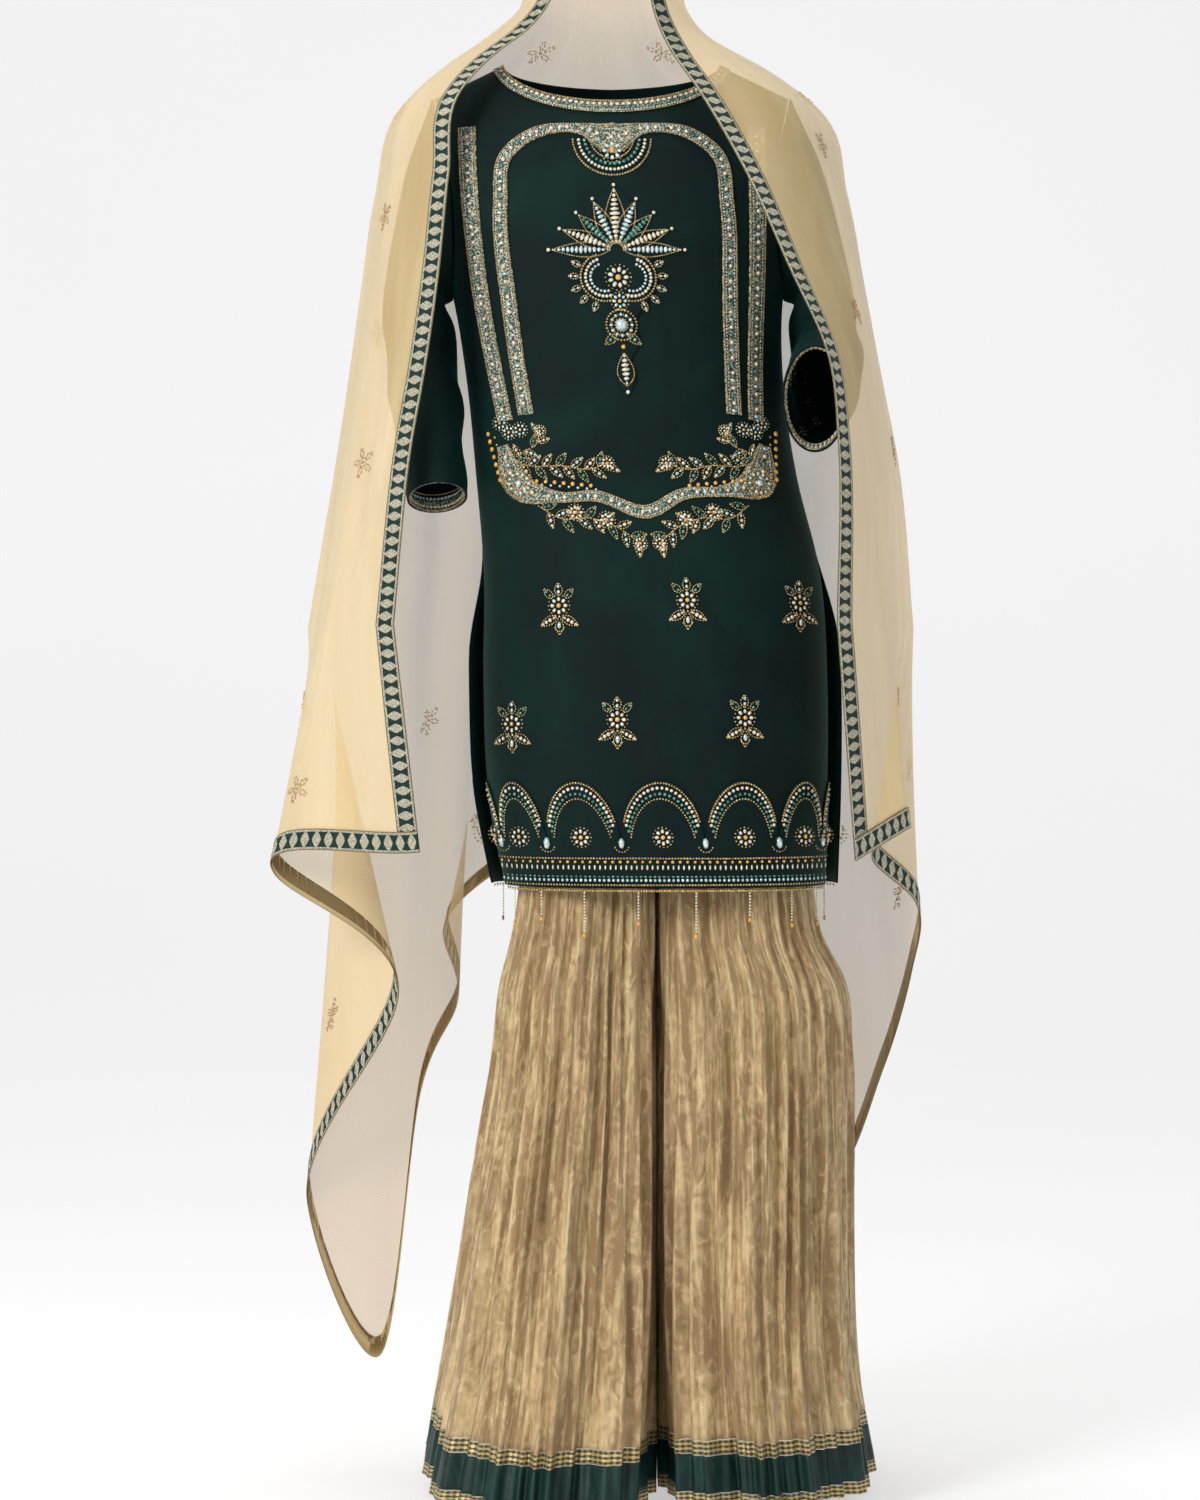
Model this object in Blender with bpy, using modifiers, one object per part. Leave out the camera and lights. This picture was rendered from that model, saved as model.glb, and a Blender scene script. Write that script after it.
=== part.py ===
"""Salwar suit of three pieces, as worn: velvet kameez, gathered sharara and sheer dupatta.

Metres, +Z up, the front towards -Y. The origin lies between the shoulders, where the wearer holds it up.
"""

from collections import namedtuple
from math import cos, pi, sin, sqrt

import bmesh
import bpy
import numpy as np
from mathutils import Vector

COLLECTION = "salwar_suit"
FRONT, BACK = -1, 1
LEFT, RIGHT = -1, 1

# Walls and gaps.
VELVET = 0.0016
TISSUE = 0.0012
NET = 0.0010
TRIM = 0.0014
SEAM_HALF_GAP = 0.0005
SEAM_GAP = 0.0004
LIFT = 0.0006
BAND_LIFT = 0.0014

# How far apart two points are that give a slope.
SLOPE_STEP = 0.002

# Kameez: the neckline is an ellipse, the shoulder a straight slope, the section a rounded oval.
NECK_HALF_WIDTH = 0.112
NECK_SIDE_Z = 0.030
NECK_DROP = {FRONT: 0.049, BACK: 0.014}
SHOULDER_SLOPE = 0.48
ROLL_Z = -0.13
OVAL_POWER = 2.3
UNDERARM_Z = -0.215
SLIT_Z = -0.47
SLIT_EASE = 0.12
KAMEEZ_HEM_Z = -0.828
BACK_FLARE = 0.016
SLIT_SPREAD = 0.008
SHOULDER_GAP = 0.0004
ROW_CROWDING = 1.5
PANEL_COLUMNS = {FRONT: 28, BACK: 18}
PANEL_ROWS = {FRONT: 15, BACK: 10}

Torso = namedtuple("Torso", "z centre_x half_width half_depth inset")
TORSO = [
    Torso(0.060, -0.030, 0.215, 0.080, 0.030),
    Torso(-0.005, -0.030, 0.215, 0.088, 0.030),
    Torso(-0.060, -0.030, 0.212, 0.105, 0.038),
    Torso(-0.120, -0.028, 0.202, 0.120, 0.036),
    Torso(-0.180, -0.025, 0.180, 0.128, 0.012),
    Torso(-0.215, -0.023, 0.173, 0.129, 0.000),
    Torso(-0.300, -0.016, 0.166, 0.124, 0.000),
    Torso(-0.400, -0.004, 0.168, 0.124, 0.000),
    Torso(-0.500, 0.012, 0.176, 0.131, 0.000),
    Torso(-0.620, 0.016, 0.180, 0.138, 0.000),
    Torso(-0.720, 0.018, 0.178, 0.142, 0.000),
    Torso(-0.840, 0.027, 0.165, 0.146, 0.000),
]

# Sleeves: rings along the arm, from just below the armhole to the cuff.
SLEEVE_SIDES = 18
# The first ring stands off the armhole, and a ring is added between it and the next.
ARMHOLE_GAP = 0.0016
HALFWAY_SHARE = 0.45
HALFWAY_LIFT = (0.010, 0.004)
Ring = namedtuple("Ring", "x y z across along")
SLEEVES = {
    LEFT: [
        Ring(-0.232, -0.006, -0.240, 0.036, 0.057),
        Ring(-0.226, -0.018, -0.305, 0.035, 0.055),
        Ring(-0.219, -0.030, -0.360, 0.033, 0.054),
        Ring(-0.213, -0.040, -0.405, 0.031, 0.052),
        Ring(-0.211, -0.045, -0.426, 0.030, 0.052),
    ],
    RIGHT: [
        Ring(0.190, -0.006, -0.232, 0.034, 0.057),
        Ring(0.194, -0.038, -0.282, 0.034, 0.056),
        Ring(0.188, -0.082, -0.310, 0.034, 0.055),
        Ring(0.179, -0.120, -0.326, 0.033, 0.054),
        Ring(0.176, -0.140, -0.332, 0.032, 0.054),
    ],
}

# Embroidered bands on the front panel: x from the panel's centre line, z and width.
Band = namedtuple("Band", "x z width")
FRAME_BAND = [
    Band(-0.106, -0.345, 0.016),
    Band(-0.112, -0.240, 0.016),
    Band(-0.116, -0.130, 0.015),
    Band(-0.108, -0.078, 0.014),
    Band(-0.080, -0.056, 0.013),
    Band(-0.030, -0.052, 0.013),
    Band(0.000, -0.062, 0.034),
    Band(0.030, -0.052, 0.013),
    Band(0.080, -0.056, 0.013),
    Band(0.108, -0.078, 0.014),
    Band(0.115, -0.130, 0.015),
    Band(0.112, -0.240, 0.016),
    Band(0.106, -0.345, 0.016),
]
SIDE_BAND = [
    Band(0.149, -0.045, 0.019),
    Band(0.147, -0.130, 0.018),
    Band(0.142, -0.210, 0.017),
    Band(0.134, -0.290, 0.016),
    Band(0.128, -0.350, 0.016),
]
YOKE_BAND = [
    Band(-0.134, -0.375, 0.012),
    Band(-0.122, -0.418, 0.030),
    Band(-0.085, -0.430, 0.012),
    Band(-0.045, -0.430, 0.012),
    Band(0.000, -0.446, 0.014),
    Band(0.045, -0.427, 0.012),
    Band(0.085, -0.424, 0.012),
    Band(0.122, -0.412, 0.034),
    Band(0.134, -0.375, 0.012),
]
CENTRE_MOTIF = [
    Band(0.000, -0.116, 0.008),
    Band(0.000, -0.138, 0.046),
    Band(0.000, -0.160, 0.034),
    Band(0.000, -0.178, 0.124),
    Band(0.000, -0.194, 0.060),
    Band(0.000, -0.210, 0.080),
    Band(0.000, -0.232, 0.060),
    Band(0.000, -0.254, 0.028),
    Band(0.000, -0.274, 0.036),
    Band(0.000, -0.292, 0.014),
    Band(0.000, -0.306, 0.022),
    Band(0.000, -0.324, 0.006),
]
BAND_STEP = 0.012
BAND_LEAST_WIDTH = 0.006
MOTIF_STEP = 0.011
BAND_COLUMNS = 2
MOTIF_COLUMNS = 6

# Hem border of the kameez: a straight band with a row of arches above it.
HEM_BAND_HEIGHT = 0.030
ARCH_HEIGHT = 0.078
ARCH_FOOT = 0.012
ARCHES = 6
ARCH_COLUMNS = 6
HEM_BORDER_LIFT = 0.0015
HEM_BORDER_MARGIN = 0.16
FRINGE_DEPTH = 0.004
FRINGE_MARGIN, FRINGE_CORD_MARGIN = 0.15, 0.03
FRINGE_LEAST_SLOPE = 0.35
FRINGE_STRAND = 0.0026
FRINGE_LENGTHS = [0.034, 0.030, 0.044, 0.032, 0.046, 0.030, 0.036, 0.034]

# Neck border: its width, how far it runs past the neckline's ends, and how it narrows there.
NECK_BORDER = 0.014
NECK_COLUMNS = 20
NECK_OVERRUN = 0.006
NECK_EDGE_SHARE = 0.985
NECK_TOP_GAP, SHOULDER_EDGE_GAP = 0.0005, 0.0004
NECK_FAN, NECK_NARROWING = 0.8, 0.6

# Sharara: a hip tube, then two wide legs with uneven folds and three bands round each hem.
CROTCH_Z = -0.660
CROTCH_GAP = 0.0006
HIP_COLUMNS = 24
Hip = namedtuple("Hip", "z centre_x half_width half_depth")
HIP = [
    Hip(-0.420, 0.0040, 0.1430, 0.1010),
    Hip(-0.448, 0.0055, 0.1448, 0.1026),
    Hip(-0.450, 0.0056, 0.1419, 0.0998),
    Hip(-0.550, 0.0110, 0.1481, 0.1056),
    Hip(-0.660, 0.0170, 0.1550, 0.1120),
]
LEG_COLUMNS = 44
LEG_ROWS = 7
LEG_HEM_Z = -1.432
UPPER_LACE, SATIN, LOWER_LACE = 0.014, 0.036, 0.012
DIVISION_X, CROTCH_CLEARANCE = 0.016, 0.006
INNER_POWER = 7.0
Leg = namedtuple("Leg", "z inner outer front back fold")
LEGS = {
    LEFT: [
        Leg(-0.660, 0.012, -0.136, -0.110, 0.110, 0.000),
        Leg(-0.760, 0.012, -0.126, -0.110, 0.110, 0.002),
        Leg(-0.835, 0.013, -0.124, -0.112, 0.112, 0.003),
        Leg(-0.880, 0.013, -0.130, -0.124, 0.124, 0.005),
        Leg(-0.930, 0.013, -0.141, -0.142, 0.140, 0.008),
        Leg(-1.000, 0.013, -0.148, -0.158, 0.155, 0.009),
        Leg(-1.150, 0.012, -0.172, -0.192, 0.176, 0.013),
        Leg(-1.300, 0.010, -0.196, -0.228, 0.198, 0.017),
        Leg(-1.432, 0.006, -0.222, -0.262, 0.215, 0.021),
    ],
    RIGHT: [
        Leg(-0.660, 0.020, 0.170, -0.110, 0.110, 0.000),
        Leg(-0.760, 0.020, 0.174, -0.110, 0.110, 0.002),
        Leg(-0.835, 0.020, 0.178, -0.112, 0.112, 0.003),
        Leg(-0.880, 0.020, 0.186, -0.120, 0.122, 0.005),
        Leg(-0.930, 0.020, 0.209, -0.138, 0.140, 0.008),
        Leg(-1.000, 0.020, 0.215, -0.152, 0.155, 0.009),
        Leg(-1.150, 0.020, 0.216, -0.174, 0.176, 0.013),
        Leg(-1.300, 0.021, 0.219, -0.202, 0.198, 0.017),
        Leg(-1.432, 0.024, 0.238, -0.230, 0.215, 0.021),
    ],
}
# Folds round a leg: where each crest lies, as a share of the turn, and its strength.
Fold = namedtuple("Fold", "turn strength")
LEG_FOLDS = [
    Fold(0.03, 0.8), Fold(0.11, 1.0), Fold(0.19, 0.6), Fold(0.26, 1.1), Fold(0.35, 0.8),
    Fold(0.43, 1.0), Fold(0.52, 0.7), Fold(0.60, 1.0), Fold(0.69, 0.8), Fold(0.77, 1.1),
    Fold(0.86, 0.7), Fold(0.94, 0.9),
]
FOLD_SHARE = 0.032
# The folds' mean strength is taken off, and on the flat inner side most of their depth.
FOLD_MEAN = 0.6
INNER_FLATNESS = 0.75

# Dupatta: level sections from the crown down, open in front, then a fall with folded ends.
DUPATTA_COLUMNS = 36
DUPATTA_BORDER = 0.022
LOWER_LIFT, COLUMN_GAP = 0.0018, 0.0014
FALL_Z = -0.560
FALL_ROWS = 6
MIDDLE_S, SIDE_S, QUARTER_S = 0.89, 0.78, 0.40
MIDDLE_X_SHARE, MIDDLE_Y_SHARE = 0.66, 0.36
QUARTER_X_SHARE, QUARTER_Y_SHARE = 0.68, 0.80
REACH_STEP = 0.02
RIPPLES, RIPPLE_DEPTH = 8, 0.006
Section = namedtuple(
    "Section",
    "z left_edge_x left_edge_y left_side_x right_edge_x right_edge_y right_side_x side_y back_x back_y",
)
HEAD_X = -0.040
CAPE = [
    Section(0.335, HEAD_X, -0.050, HEAD_X, HEAD_X, -0.050, HEAD_X, -0.010, HEAD_X, 0.060),
    Section(0.318, -0.090, -0.074, -0.096, 0.010, -0.074, 0.016, 0.000, HEAD_X, 0.090),
    Section(0.275, -0.116, -0.090, -0.132, 0.036, -0.090, 0.052, 0.005, HEAD_X, 0.112),
    Section(0.205, -0.124, -0.092, -0.146, 0.044, -0.092, 0.066, 0.010, HEAD_X, 0.120),
    Section(0.140, -0.102, -0.082, -0.130, 0.022, -0.082, 0.050, 0.012, HEAD_X, 0.108),
    Section(0.095, -0.090, -0.070, -0.126, 0.010, -0.070, 0.048, 0.016, -0.040, 0.098),
    Section(0.060, -0.114, -0.060, -0.166, 0.018, -0.072, 0.078, 0.018, -0.038, 0.104),
    Section(0.032, -0.150, -0.062, -0.206, 0.030, -0.086, 0.128, 0.014, -0.036, 0.114),
    Section(-0.010, -0.184, -0.088, -0.250, 0.056, -0.108, 0.182, 0.008, -0.032, 0.132),
    Section(-0.100, -0.196, -0.114, -0.276, 0.104, -0.146, 0.214, 0.004, -0.026, 0.152),
    Section(-0.200, -0.206, -0.118, -0.290, 0.146, -0.182, 0.234, 0.000, -0.018, 0.160),
    Section(-0.300, -0.220, -0.120, -0.302, 0.186, -0.214, 0.252, -0.010, -0.010, 0.166),
    Section(-0.380, -0.234, -0.122, -0.313, 0.195, -0.210, 0.266, -0.014, -0.002, 0.172),
    Section(-0.560, -0.252, -0.124, -0.342, 0.196, -0.180, 0.281, -0.014, 0.004, 0.184),
]
SECTION_S = [-1.0, -MIDDLE_S, -SIDE_S, -QUARTER_S, 0.0, QUARTER_S, SIDE_S, MIDDLE_S, 1.0]
Fall = namedtuple("Fall", "s x y z")
FALL = [
    Fall(-1.00, -0.225, -0.130, -0.792),
    Fall(-0.80, -0.377, -0.070, -0.816),
    Fall(-0.68, -0.252, -0.012, -0.935),
    Fall(-0.56, -0.352, 0.046, -1.165),
    Fall(-0.47, -0.276, 0.090, -1.336),
    Fall(-0.39, -0.236, 0.118, -1.060),
    Fall(-0.31, -0.196, 0.152, -0.960),
    Fall(-0.22, -0.212, 0.196, -0.880),
    Fall(-0.11, -0.120, 0.210, -0.800),
    Fall(0.00, 0.010, 0.206, -0.740),
    Fall(0.13, 0.110, 0.200, -0.790),
    Fall(0.26, 0.176, 0.176, -0.930),
    Fall(0.39, 0.216, 0.136, -1.140),
    Fall(0.50, 0.262, 0.096, -1.030),
    Fall(0.61, 0.288, 0.052, -0.925),
    Fall(0.72, 0.290, 0.006, -0.850),
    Fall(0.81, 0.240, -0.036, -0.800),
    Fall(0.90, 0.276, -0.086, -0.768),
    Fall(1.00, 0.216, -0.150, -0.800),
]

# Finish of each cloth: colour, roughness, metallic.
VELVET_LOOK = ((0.004, 0.045, 0.040), 0.75, 0.0)
TISSUE_LOOK = ((0.560, 0.400, 0.190), 0.45, 0.4)
NET_LOOK = ((0.820, 0.680, 0.420), 0.60, 0.1)
BEAD_LOOK = ((0.640, 0.540, 0.360), 0.35, 0.6)
SATIN_LOOK = ((0.006, 0.070, 0.050), 0.40, 0.0)
LACE_LOOK = ((0.480, 0.360, 0.170), 0.45, 0.5)


def read(rows, key, column, at):
    """The value of a table's column at a place along its key, on a smooth curve through the rows."""
    keys = np.array([getattr(row, key) for row in rows])
    values = np.array([getattr(row, column) for row in rows])
    return curve_value(keys, values, at)


def curve_value(keys, values, at):
    """Cubic Hermite curve through values at ascending or descending keys."""
    if keys[0] > keys[-1]:
        keys, values = keys[::-1], values[::-1]
    slopes = np.gradient(values, keys)
    at = min(max(at, keys[0]), keys[-1])
    low = int(np.clip(np.searchsorted(keys, at) - 1, 0, len(keys) - 2))
    span = keys[low + 1] - keys[low]
    t = (at - keys[low]) / span
    return float(
        (2 * t**3 - 3 * t**2 + 1) * values[low]
        + (t**3 - 2 * t**2 + t) * span * slopes[low]
        + (3 * t**2 - 2 * t**3) * values[low + 1]
        + (t**3 - t**2) * span * slopes[low + 1]
    )


def between(start, end, share):
    """The value at a share of the way from start to end."""
    return start + (end - start) * share


def ease(value):
    """0 to 1 with level ends."""
    value = min(max(value, 0.0), 1.0)
    return value * value * (3 - 2 * value)


def finish(look, name):
    """A Principled material for one piece."""
    colour, roughness, metallic = look
    material = bpy.data.materials.new(name)
    material.use_nodes = True
    shader = material.node_tree.nodes["Principled BSDF"]
    shader.inputs["Base Color"].default_value = (*colour, 1.0)
    shader.inputs["Roughness"].default_value = roughness
    shader.inputs["Metallic"].default_value = metallic
    return material


def add_object(name, mesh_data, look):
    """Puts a mesh into the collection as a named object with its own finish."""
    mesh = bpy.data.meshes.new(name)
    mesh_data.to_mesh(mesh)
    mesh_data.free()
    mesh.materials.append(finish(look, name))
    obj = bpy.data.objects.new(name, mesh)
    bpy.data.collections[COLLECTION].objects.link(obj)
    return obj


def cloth(name, grid, thickness, look, wrap=False, even=True):
    """A wall of even thickness from outer points, the rows running down and the columns to the right."""
    data = bmesh.new()
    points = [[data.verts.new(point) for point in row] for row in grid]
    columns = len(points[0])
    last = columns if wrap else columns - 1
    for upper, lower in zip(points, points[1:]):
        for i in range(last):
            j = (i + 1) % columns
            data.faces.new((upper[i], lower[i], lower[j], upper[j]))
    bmesh.ops.remove_doubles(data, verts=data.verts, dist=1e-6)
    for face in data.faces:
        face.smooth = True
    obj = add_object(name, data, look)
    wall = obj.modifiers.new("wall", "SOLIDIFY")
    wall.thickness = thickness
    wall.offset = -1
    wall.use_even_offset = even
    wall.thickness_clamp = 0
    return obj


def shoulder_z(x):
    """Height of the shoulder slope at a distance from the panel's centre line."""
    return NECK_SIDE_Z - SHOULDER_SLOPE * (abs(x) - NECK_HALF_WIDTH)


def panel_top(side, x):
    """Upper edge of a body panel: the neckline, and outside it the shoulder seam."""
    if abs(x) >= NECK_HALF_WIDTH:
        return shoulder_z(x)
    return NECK_SIDE_Z - NECK_DROP[side] * sqrt(1 - (x / NECK_HALF_WIDTH) ** 2)


def torso_at(side, x, z):
    """A point of the kameez's outer face, x from the panel's centre line."""
    below_slit = ease((SLIT_Z - z) / SLIT_EASE)
    half_width = read(TORSO, "z", "half_width", z)
    if side == BACK:
        half_width += BACK_FLARE * below_slit
    share = min(abs(x) / half_width, 1.0)
    depth = read(TORSO, "z", "half_depth", z) * (1 - share**OVAL_POWER) ** (1 / OVAL_POWER)
    gap = SEAM_HALF_GAP + SLIT_SPREAD * below_slit
    if z > ROLL_Z:
        climb = min((z - ROLL_Z) / (shoulder_z(x) - ROLL_Z), 1.0)
        depth *= sqrt(1 - climb**2)
        gap += SHOULDER_GAP * climb
    return Vector((read(TORSO, "z", "centre_x", z) + x, side * (depth + gap), z))


def panel_half(side, z):
    """Half the width of a body panel at a height."""
    half = read(TORSO, "z", "half_width", z)
    if z > UNDERARM_Z:
        half -= max(read(TORSO, "z", "inset", z), 0.0)
    if side == BACK:
        half += BACK_FLARE * ease((SLIT_Z - z) / SLIT_EASE)
    return half


def torso_normal(side, x, z):
    """Direction out of the kameez at a point."""
    across = torso_at(side, x + SLOPE_STEP, z) - torso_at(side, x - SLOPE_STEP, z)
    up = torso_at(side, x, z + SLOPE_STEP) - torso_at(side, x, z - SLOPE_STEP)
    return (across.cross(up) if side == FRONT else up.cross(across)).normalized()


def panel_levels(side, turn):
    """Heights down one column of a panel, crowded at the shoulder."""
    top_half = panel_half(side, 0.0)
    top = panel_top(side, top_half * sin(turn))
    rows = PANEL_ROWS[side]
    shares = [(row / rows) ** ROW_CROWDING for row in range(rows + 1)]
    return [top + (KAMEEZ_HEM_Z - top) * share for share in shares]


def body_panel(side):
    """Front or back panel as a grid of outer points."""
    turns = np.linspace(-pi / 2, pi / 2, PANEL_COLUMNS[side] + 1) * -side
    columns = []
    for turn in turns:
        column = []
        for z in panel_levels(side, turn):
            column.append(torso_at(side, panel_half(side, z) * sin(turn), z))
        columns.append(column)
    return [list(row) for row in zip(*columns)]


def armhole(hand, grids):
    """The armhole's edge as a closed loop: shoulder tip, front, underarm, back."""
    edge = {}
    for side, grid in grids.items():
        column = 0 if (hand == LEFT) == (side == FRONT) else -1
        edge[side] = [row[column] for row in grid if row[column].z > UNDERARM_Z]
    underarm = torso_at(FRONT, hand * panel_half(FRONT, UNDERARM_Z), UNDERARM_Z)
    underarm.y = 0.0
    tip = edge[FRONT][0].copy()
    tip.y = 0.0
    loop = [tip] + edge[FRONT][1:] + [underarm] + edge[BACK][:0:-1]
    return even_loop(loop, SLEEVE_SIDES)


def even_loop(points, count):
    """A closed loop of points spread evenly along a given closed loop, keeping its first point."""
    closed = points + [points[0]]
    steps = [0.0]
    for start, end in zip(closed, closed[1:]):
        steps.append(steps[-1] + (end - start).length)
    even = []
    for i in range(count):
        at = steps[-1] * i / count
        even.append(Vector([np.interp(at, steps, [point[axis] for point in closed]) for axis in range(3)]))
    return even


def sleeve_rings(hand, grids):
    """Rings of outer points from the armhole to the cuff."""
    start = [point + Vector((hand * ARMHOLE_GAP, 0, 0)) for point in armhole(hand, grids)]
    rings = [start]
    path = [Vector((ring.x, ring.y, ring.z)) for ring in SLEEVES[hand]]
    hole = sum(start, Vector()) / len(start)
    for i, ring in enumerate(SLEEVES[hand]):
        ahead = (path[min(i + 1, len(path) - 1)] - (path[i - 1] if i else hole)).normalized()
        outer = Vector((hand, 0, 0))
        outer = (outer - outer.dot(ahead) * ahead).normalized()
        front = ahead.cross(outer) * hand
        points = []
        for k in range(SLEEVE_SIDES):
            turn = 2 * pi * k / SLEEVE_SIDES
            points.append(path[i] + outer * ring.across * cos(turn) + front * ring.along * sin(turn))
        rings.append(points)
    lift = Vector((hand * HALFWAY_LIFT[0], 0, HALFWAY_LIFT[1]))
    rings.insert(1, [here.lerp(there, HALFWAY_SHARE) + lift for here, there in zip(start, rings[1])])
    if hand == LEFT:
        rings = [ring[::-1] for ring in rings]
    return rings


def raised(grid, lift, wrap=False):
    """A grid moved out along its own normals."""
    moved = []
    rows, columns = len(grid), len(grid[0])
    for r in range(rows):
        line = []
        for c in range(columns):
            left = grid[r][(c - 1) % columns] if wrap or c else grid[r][0]
            right = grid[r][(c + 1) % columns] if wrap or c < columns - 1 else grid[r][-1]
            down = grid[min(r + 1, rows - 1)][c] - grid[max(r - 1, 0)][c]
            normal = down.cross(right - left).normalized()
            line.append(grid[r][c] + normal * lift)
        moved.append(line)
    return moved


def on_panel(side, x, z, lift):
    """A point at a height above the kameez's outer face."""
    return torso_at(side, x, z) + torso_normal(side, x, z) * lift


def band_strip(name, rows, step, columns, mirror=1):
    """A flat embroidered strip that follows a route on the front panel."""
    places = [np.array((row.x * mirror, row.z)) for row in rows]
    lengths = np.concatenate([[0], np.cumsum([np.linalg.norm(b - a) for a, b in zip(places, places[1:])])])
    count = max(int(lengths[-1] / step), 2)
    xs = np.array([row.x * mirror for row in rows])
    zs = np.array([row.z for row in rows])
    widths = np.array([row.width for row in rows])
    grid = []
    for at in np.linspace(0, lengths[-1], count + 1):
        here = np.array([curve_value(lengths, xs, at), curve_value(lengths, zs, at)])
        near, far = max(at - SLOPE_STEP, 0), min(at + SLOPE_STEP, lengths[-1])
        way = np.array([curve_value(lengths, v, far) - curve_value(lengths, v, near) for v in (xs, zs)])
        across = np.array([-way[1], way[0]]) / np.linalg.norm(way)
        width = max(curve_value(lengths, widths, at), BAND_LEAST_WIDTH)
        offsets = np.linspace(-width / 2, width / 2, columns + 1)
        grid.append([on_panel(FRONT, *(here + across * offset), BAND_LIFT + TRIM) for offset in offsets])
    return cloth(name, grid, TRIM, BEAD_LOOK)


def neck_border(side):
    """Binding along a panel's neckline."""
    name = "neck_border_front" if side == FRONT else "neck_border_back"
    grid = [[], [], []]
    reach = NECK_HALF_WIDTH + NECK_OVERRUN
    limit = NECK_HALF_WIDTH * NECK_EDGE_SHARE
    for i in range(NECK_COLUMNS + 1):
        x = -side * reach * sin(pi * (i / NECK_COLUMNS - 0.5))
        edge_x = max(min(x, limit), -limit)
        top = panel_top(side, edge_x) - NECK_TOP_GAP
        slope = x / NECK_HALF_WIDTH
        for row, share in enumerate((0.0, 0.5, 1.0)):
            down = NECK_BORDER * share
            out_x = edge_x + slope * down * NECK_FAN
            fallen = top - down * (1 - NECK_NARROWING * abs(slope) ** 3)
            z = min(fallen, panel_top(side, out_x) - SHOULDER_EDGE_GAP)
            grid[row].append(on_panel(side, out_x, z, LIFT + TRIM))
    return cloth(name, grid, TRIM, BEAD_LOOK)


def arch_share(place):
    """Height of the arch row at a share of the hem, 0 between two arches and 1 at a crest."""
    phase = (place * ARCHES + 0.5) % 1.0
    return sqrt(max(1 - (2 * phase - 1) ** 2, 0.0))


def hem_border(side):
    """Scalloped border above a panel's hem."""
    name = "hem_border_front" if side == FRONT else "hem_border_back"
    columns = ARCHES * ARCH_COLUMNS
    bottom = KAMEEZ_HEM_Z + HEM_BORDER_LIFT
    grid = [[], [], [], []]
    for i in range(columns + 1):
        place = i / columns
        turn = (pi - HEM_BORDER_MARGIN) * (place - 0.5) * -side
        height = ARCH_FOOT + (ARCH_HEIGHT - ARCH_FOOT) * arch_share(place)
        levels = (bottom + HEM_BAND_HEIGHT + height, bottom + HEM_BAND_HEIGHT + height / 2)
        for row, z in enumerate(levels + (bottom + HEM_BAND_HEIGHT, bottom)):
            grid[row].append(on_panel(side, panel_half(side, z) * sin(turn), z, LIFT + TRIM))
    return cloth(name, grid, TRIM, BEAD_LOOK)


def hem_fringe(side):
    """A cord along the hem with hanging bead strings that grow out of it."""
    name = "hem_fringe_front" if side == FRONT else "hem_fringe_back"
    top = KAMEEZ_HEM_Z - SEAM_GAP
    strands = len(FRINGE_LENGTHS)
    half = panel_half(side, KAMEEZ_HEM_Z)
    span = pi - 2 * FRINGE_MARGIN
    stops = []
    for k in range(strands):
        centre = span * ((k + 0.5) / strands - 0.5)
        reach = FRINGE_STRAND / 2 / half / max(cos(centre), FRINGE_LEAST_SLOPE)
        stops.append((centre - reach, FRINGE_LENGTHS[k]))
        stops.append((centre + reach, 0.0))
        if k < strands - 1:
            stops.append((centre + span / strands / 2, 0.0))
    end = pi / 2 - FRINGE_CORD_MARGIN
    stops = [(-end, 0.0)] + stops + [(end, 0.0)]
    data = bmesh.new()
    rims = []
    for turn, _ in stops:
        x = half * sin(turn)
        outer = torso_at(side, x, KAMEEZ_HEM_Z)
        inner = outer - torso_normal(side, x, KAMEEZ_HEM_Z) * FRINGE_STRAND
        rims.append([
            data.verts.new((outer.x, outer.y, top)),
            data.verts.new((inner.x, inner.y, top)),
            data.verts.new((inner.x, inner.y, top - FRINGE_DEPTH)),
            data.verts.new((outer.x, outer.y, top - FRINGE_DEPTH)),
        ])
    bottoms = []
    for here, there in zip(rims, rims[1:]):
        for k in range(4):
            face = data.faces.new((here[k], there[k], there[(k + 1) % 4], here[(k + 1) % 4]))
            if k == 2:
                bottoms.append(face)
    data.faces.new(rims[0])
    data.faces.new(rims[-1][::-1])
    for face, (_, length) in zip(bottoms, stops):
        if length:
            drawn = bmesh.ops.extrude_discrete_faces(data, faces=[face])["faces"][0]
            bmesh.ops.translate(data, verts=drawn.verts, vec=(0, 0, -length))
    bmesh.ops.recalc_face_normals(data, faces=data.faces)
    return add_object(name, data, BEAD_LOOK)


def hip_part():
    """Hip tube of the sharara, with a thicker casing round the waist."""
    turns = [2 * pi * k / HIP_COLUMNS for k in range(HIP_COLUMNS)]
    rows = []
    for row in HIP:
        ring = [(row.centre_x + row.half_width * cos(t), row.half_depth * sin(t), row.z) for t in turns]
        rows.append([Vector(point) for point in ring])
    return cloth("sharara_hip", rows, TISSUE, TISSUE_LOOK, wrap=True)


def fold_wave(turn):
    """Crests and troughs round a leg, from the table of folds."""
    total = 0.0
    for fold in LEG_FOLDS:
        away = (turn - fold.turn + 0.5) % 1.0 - 0.5
        total += fold.strength * np.exp(-((away / FOLD_SHARE) ** 2))
    return total


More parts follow.
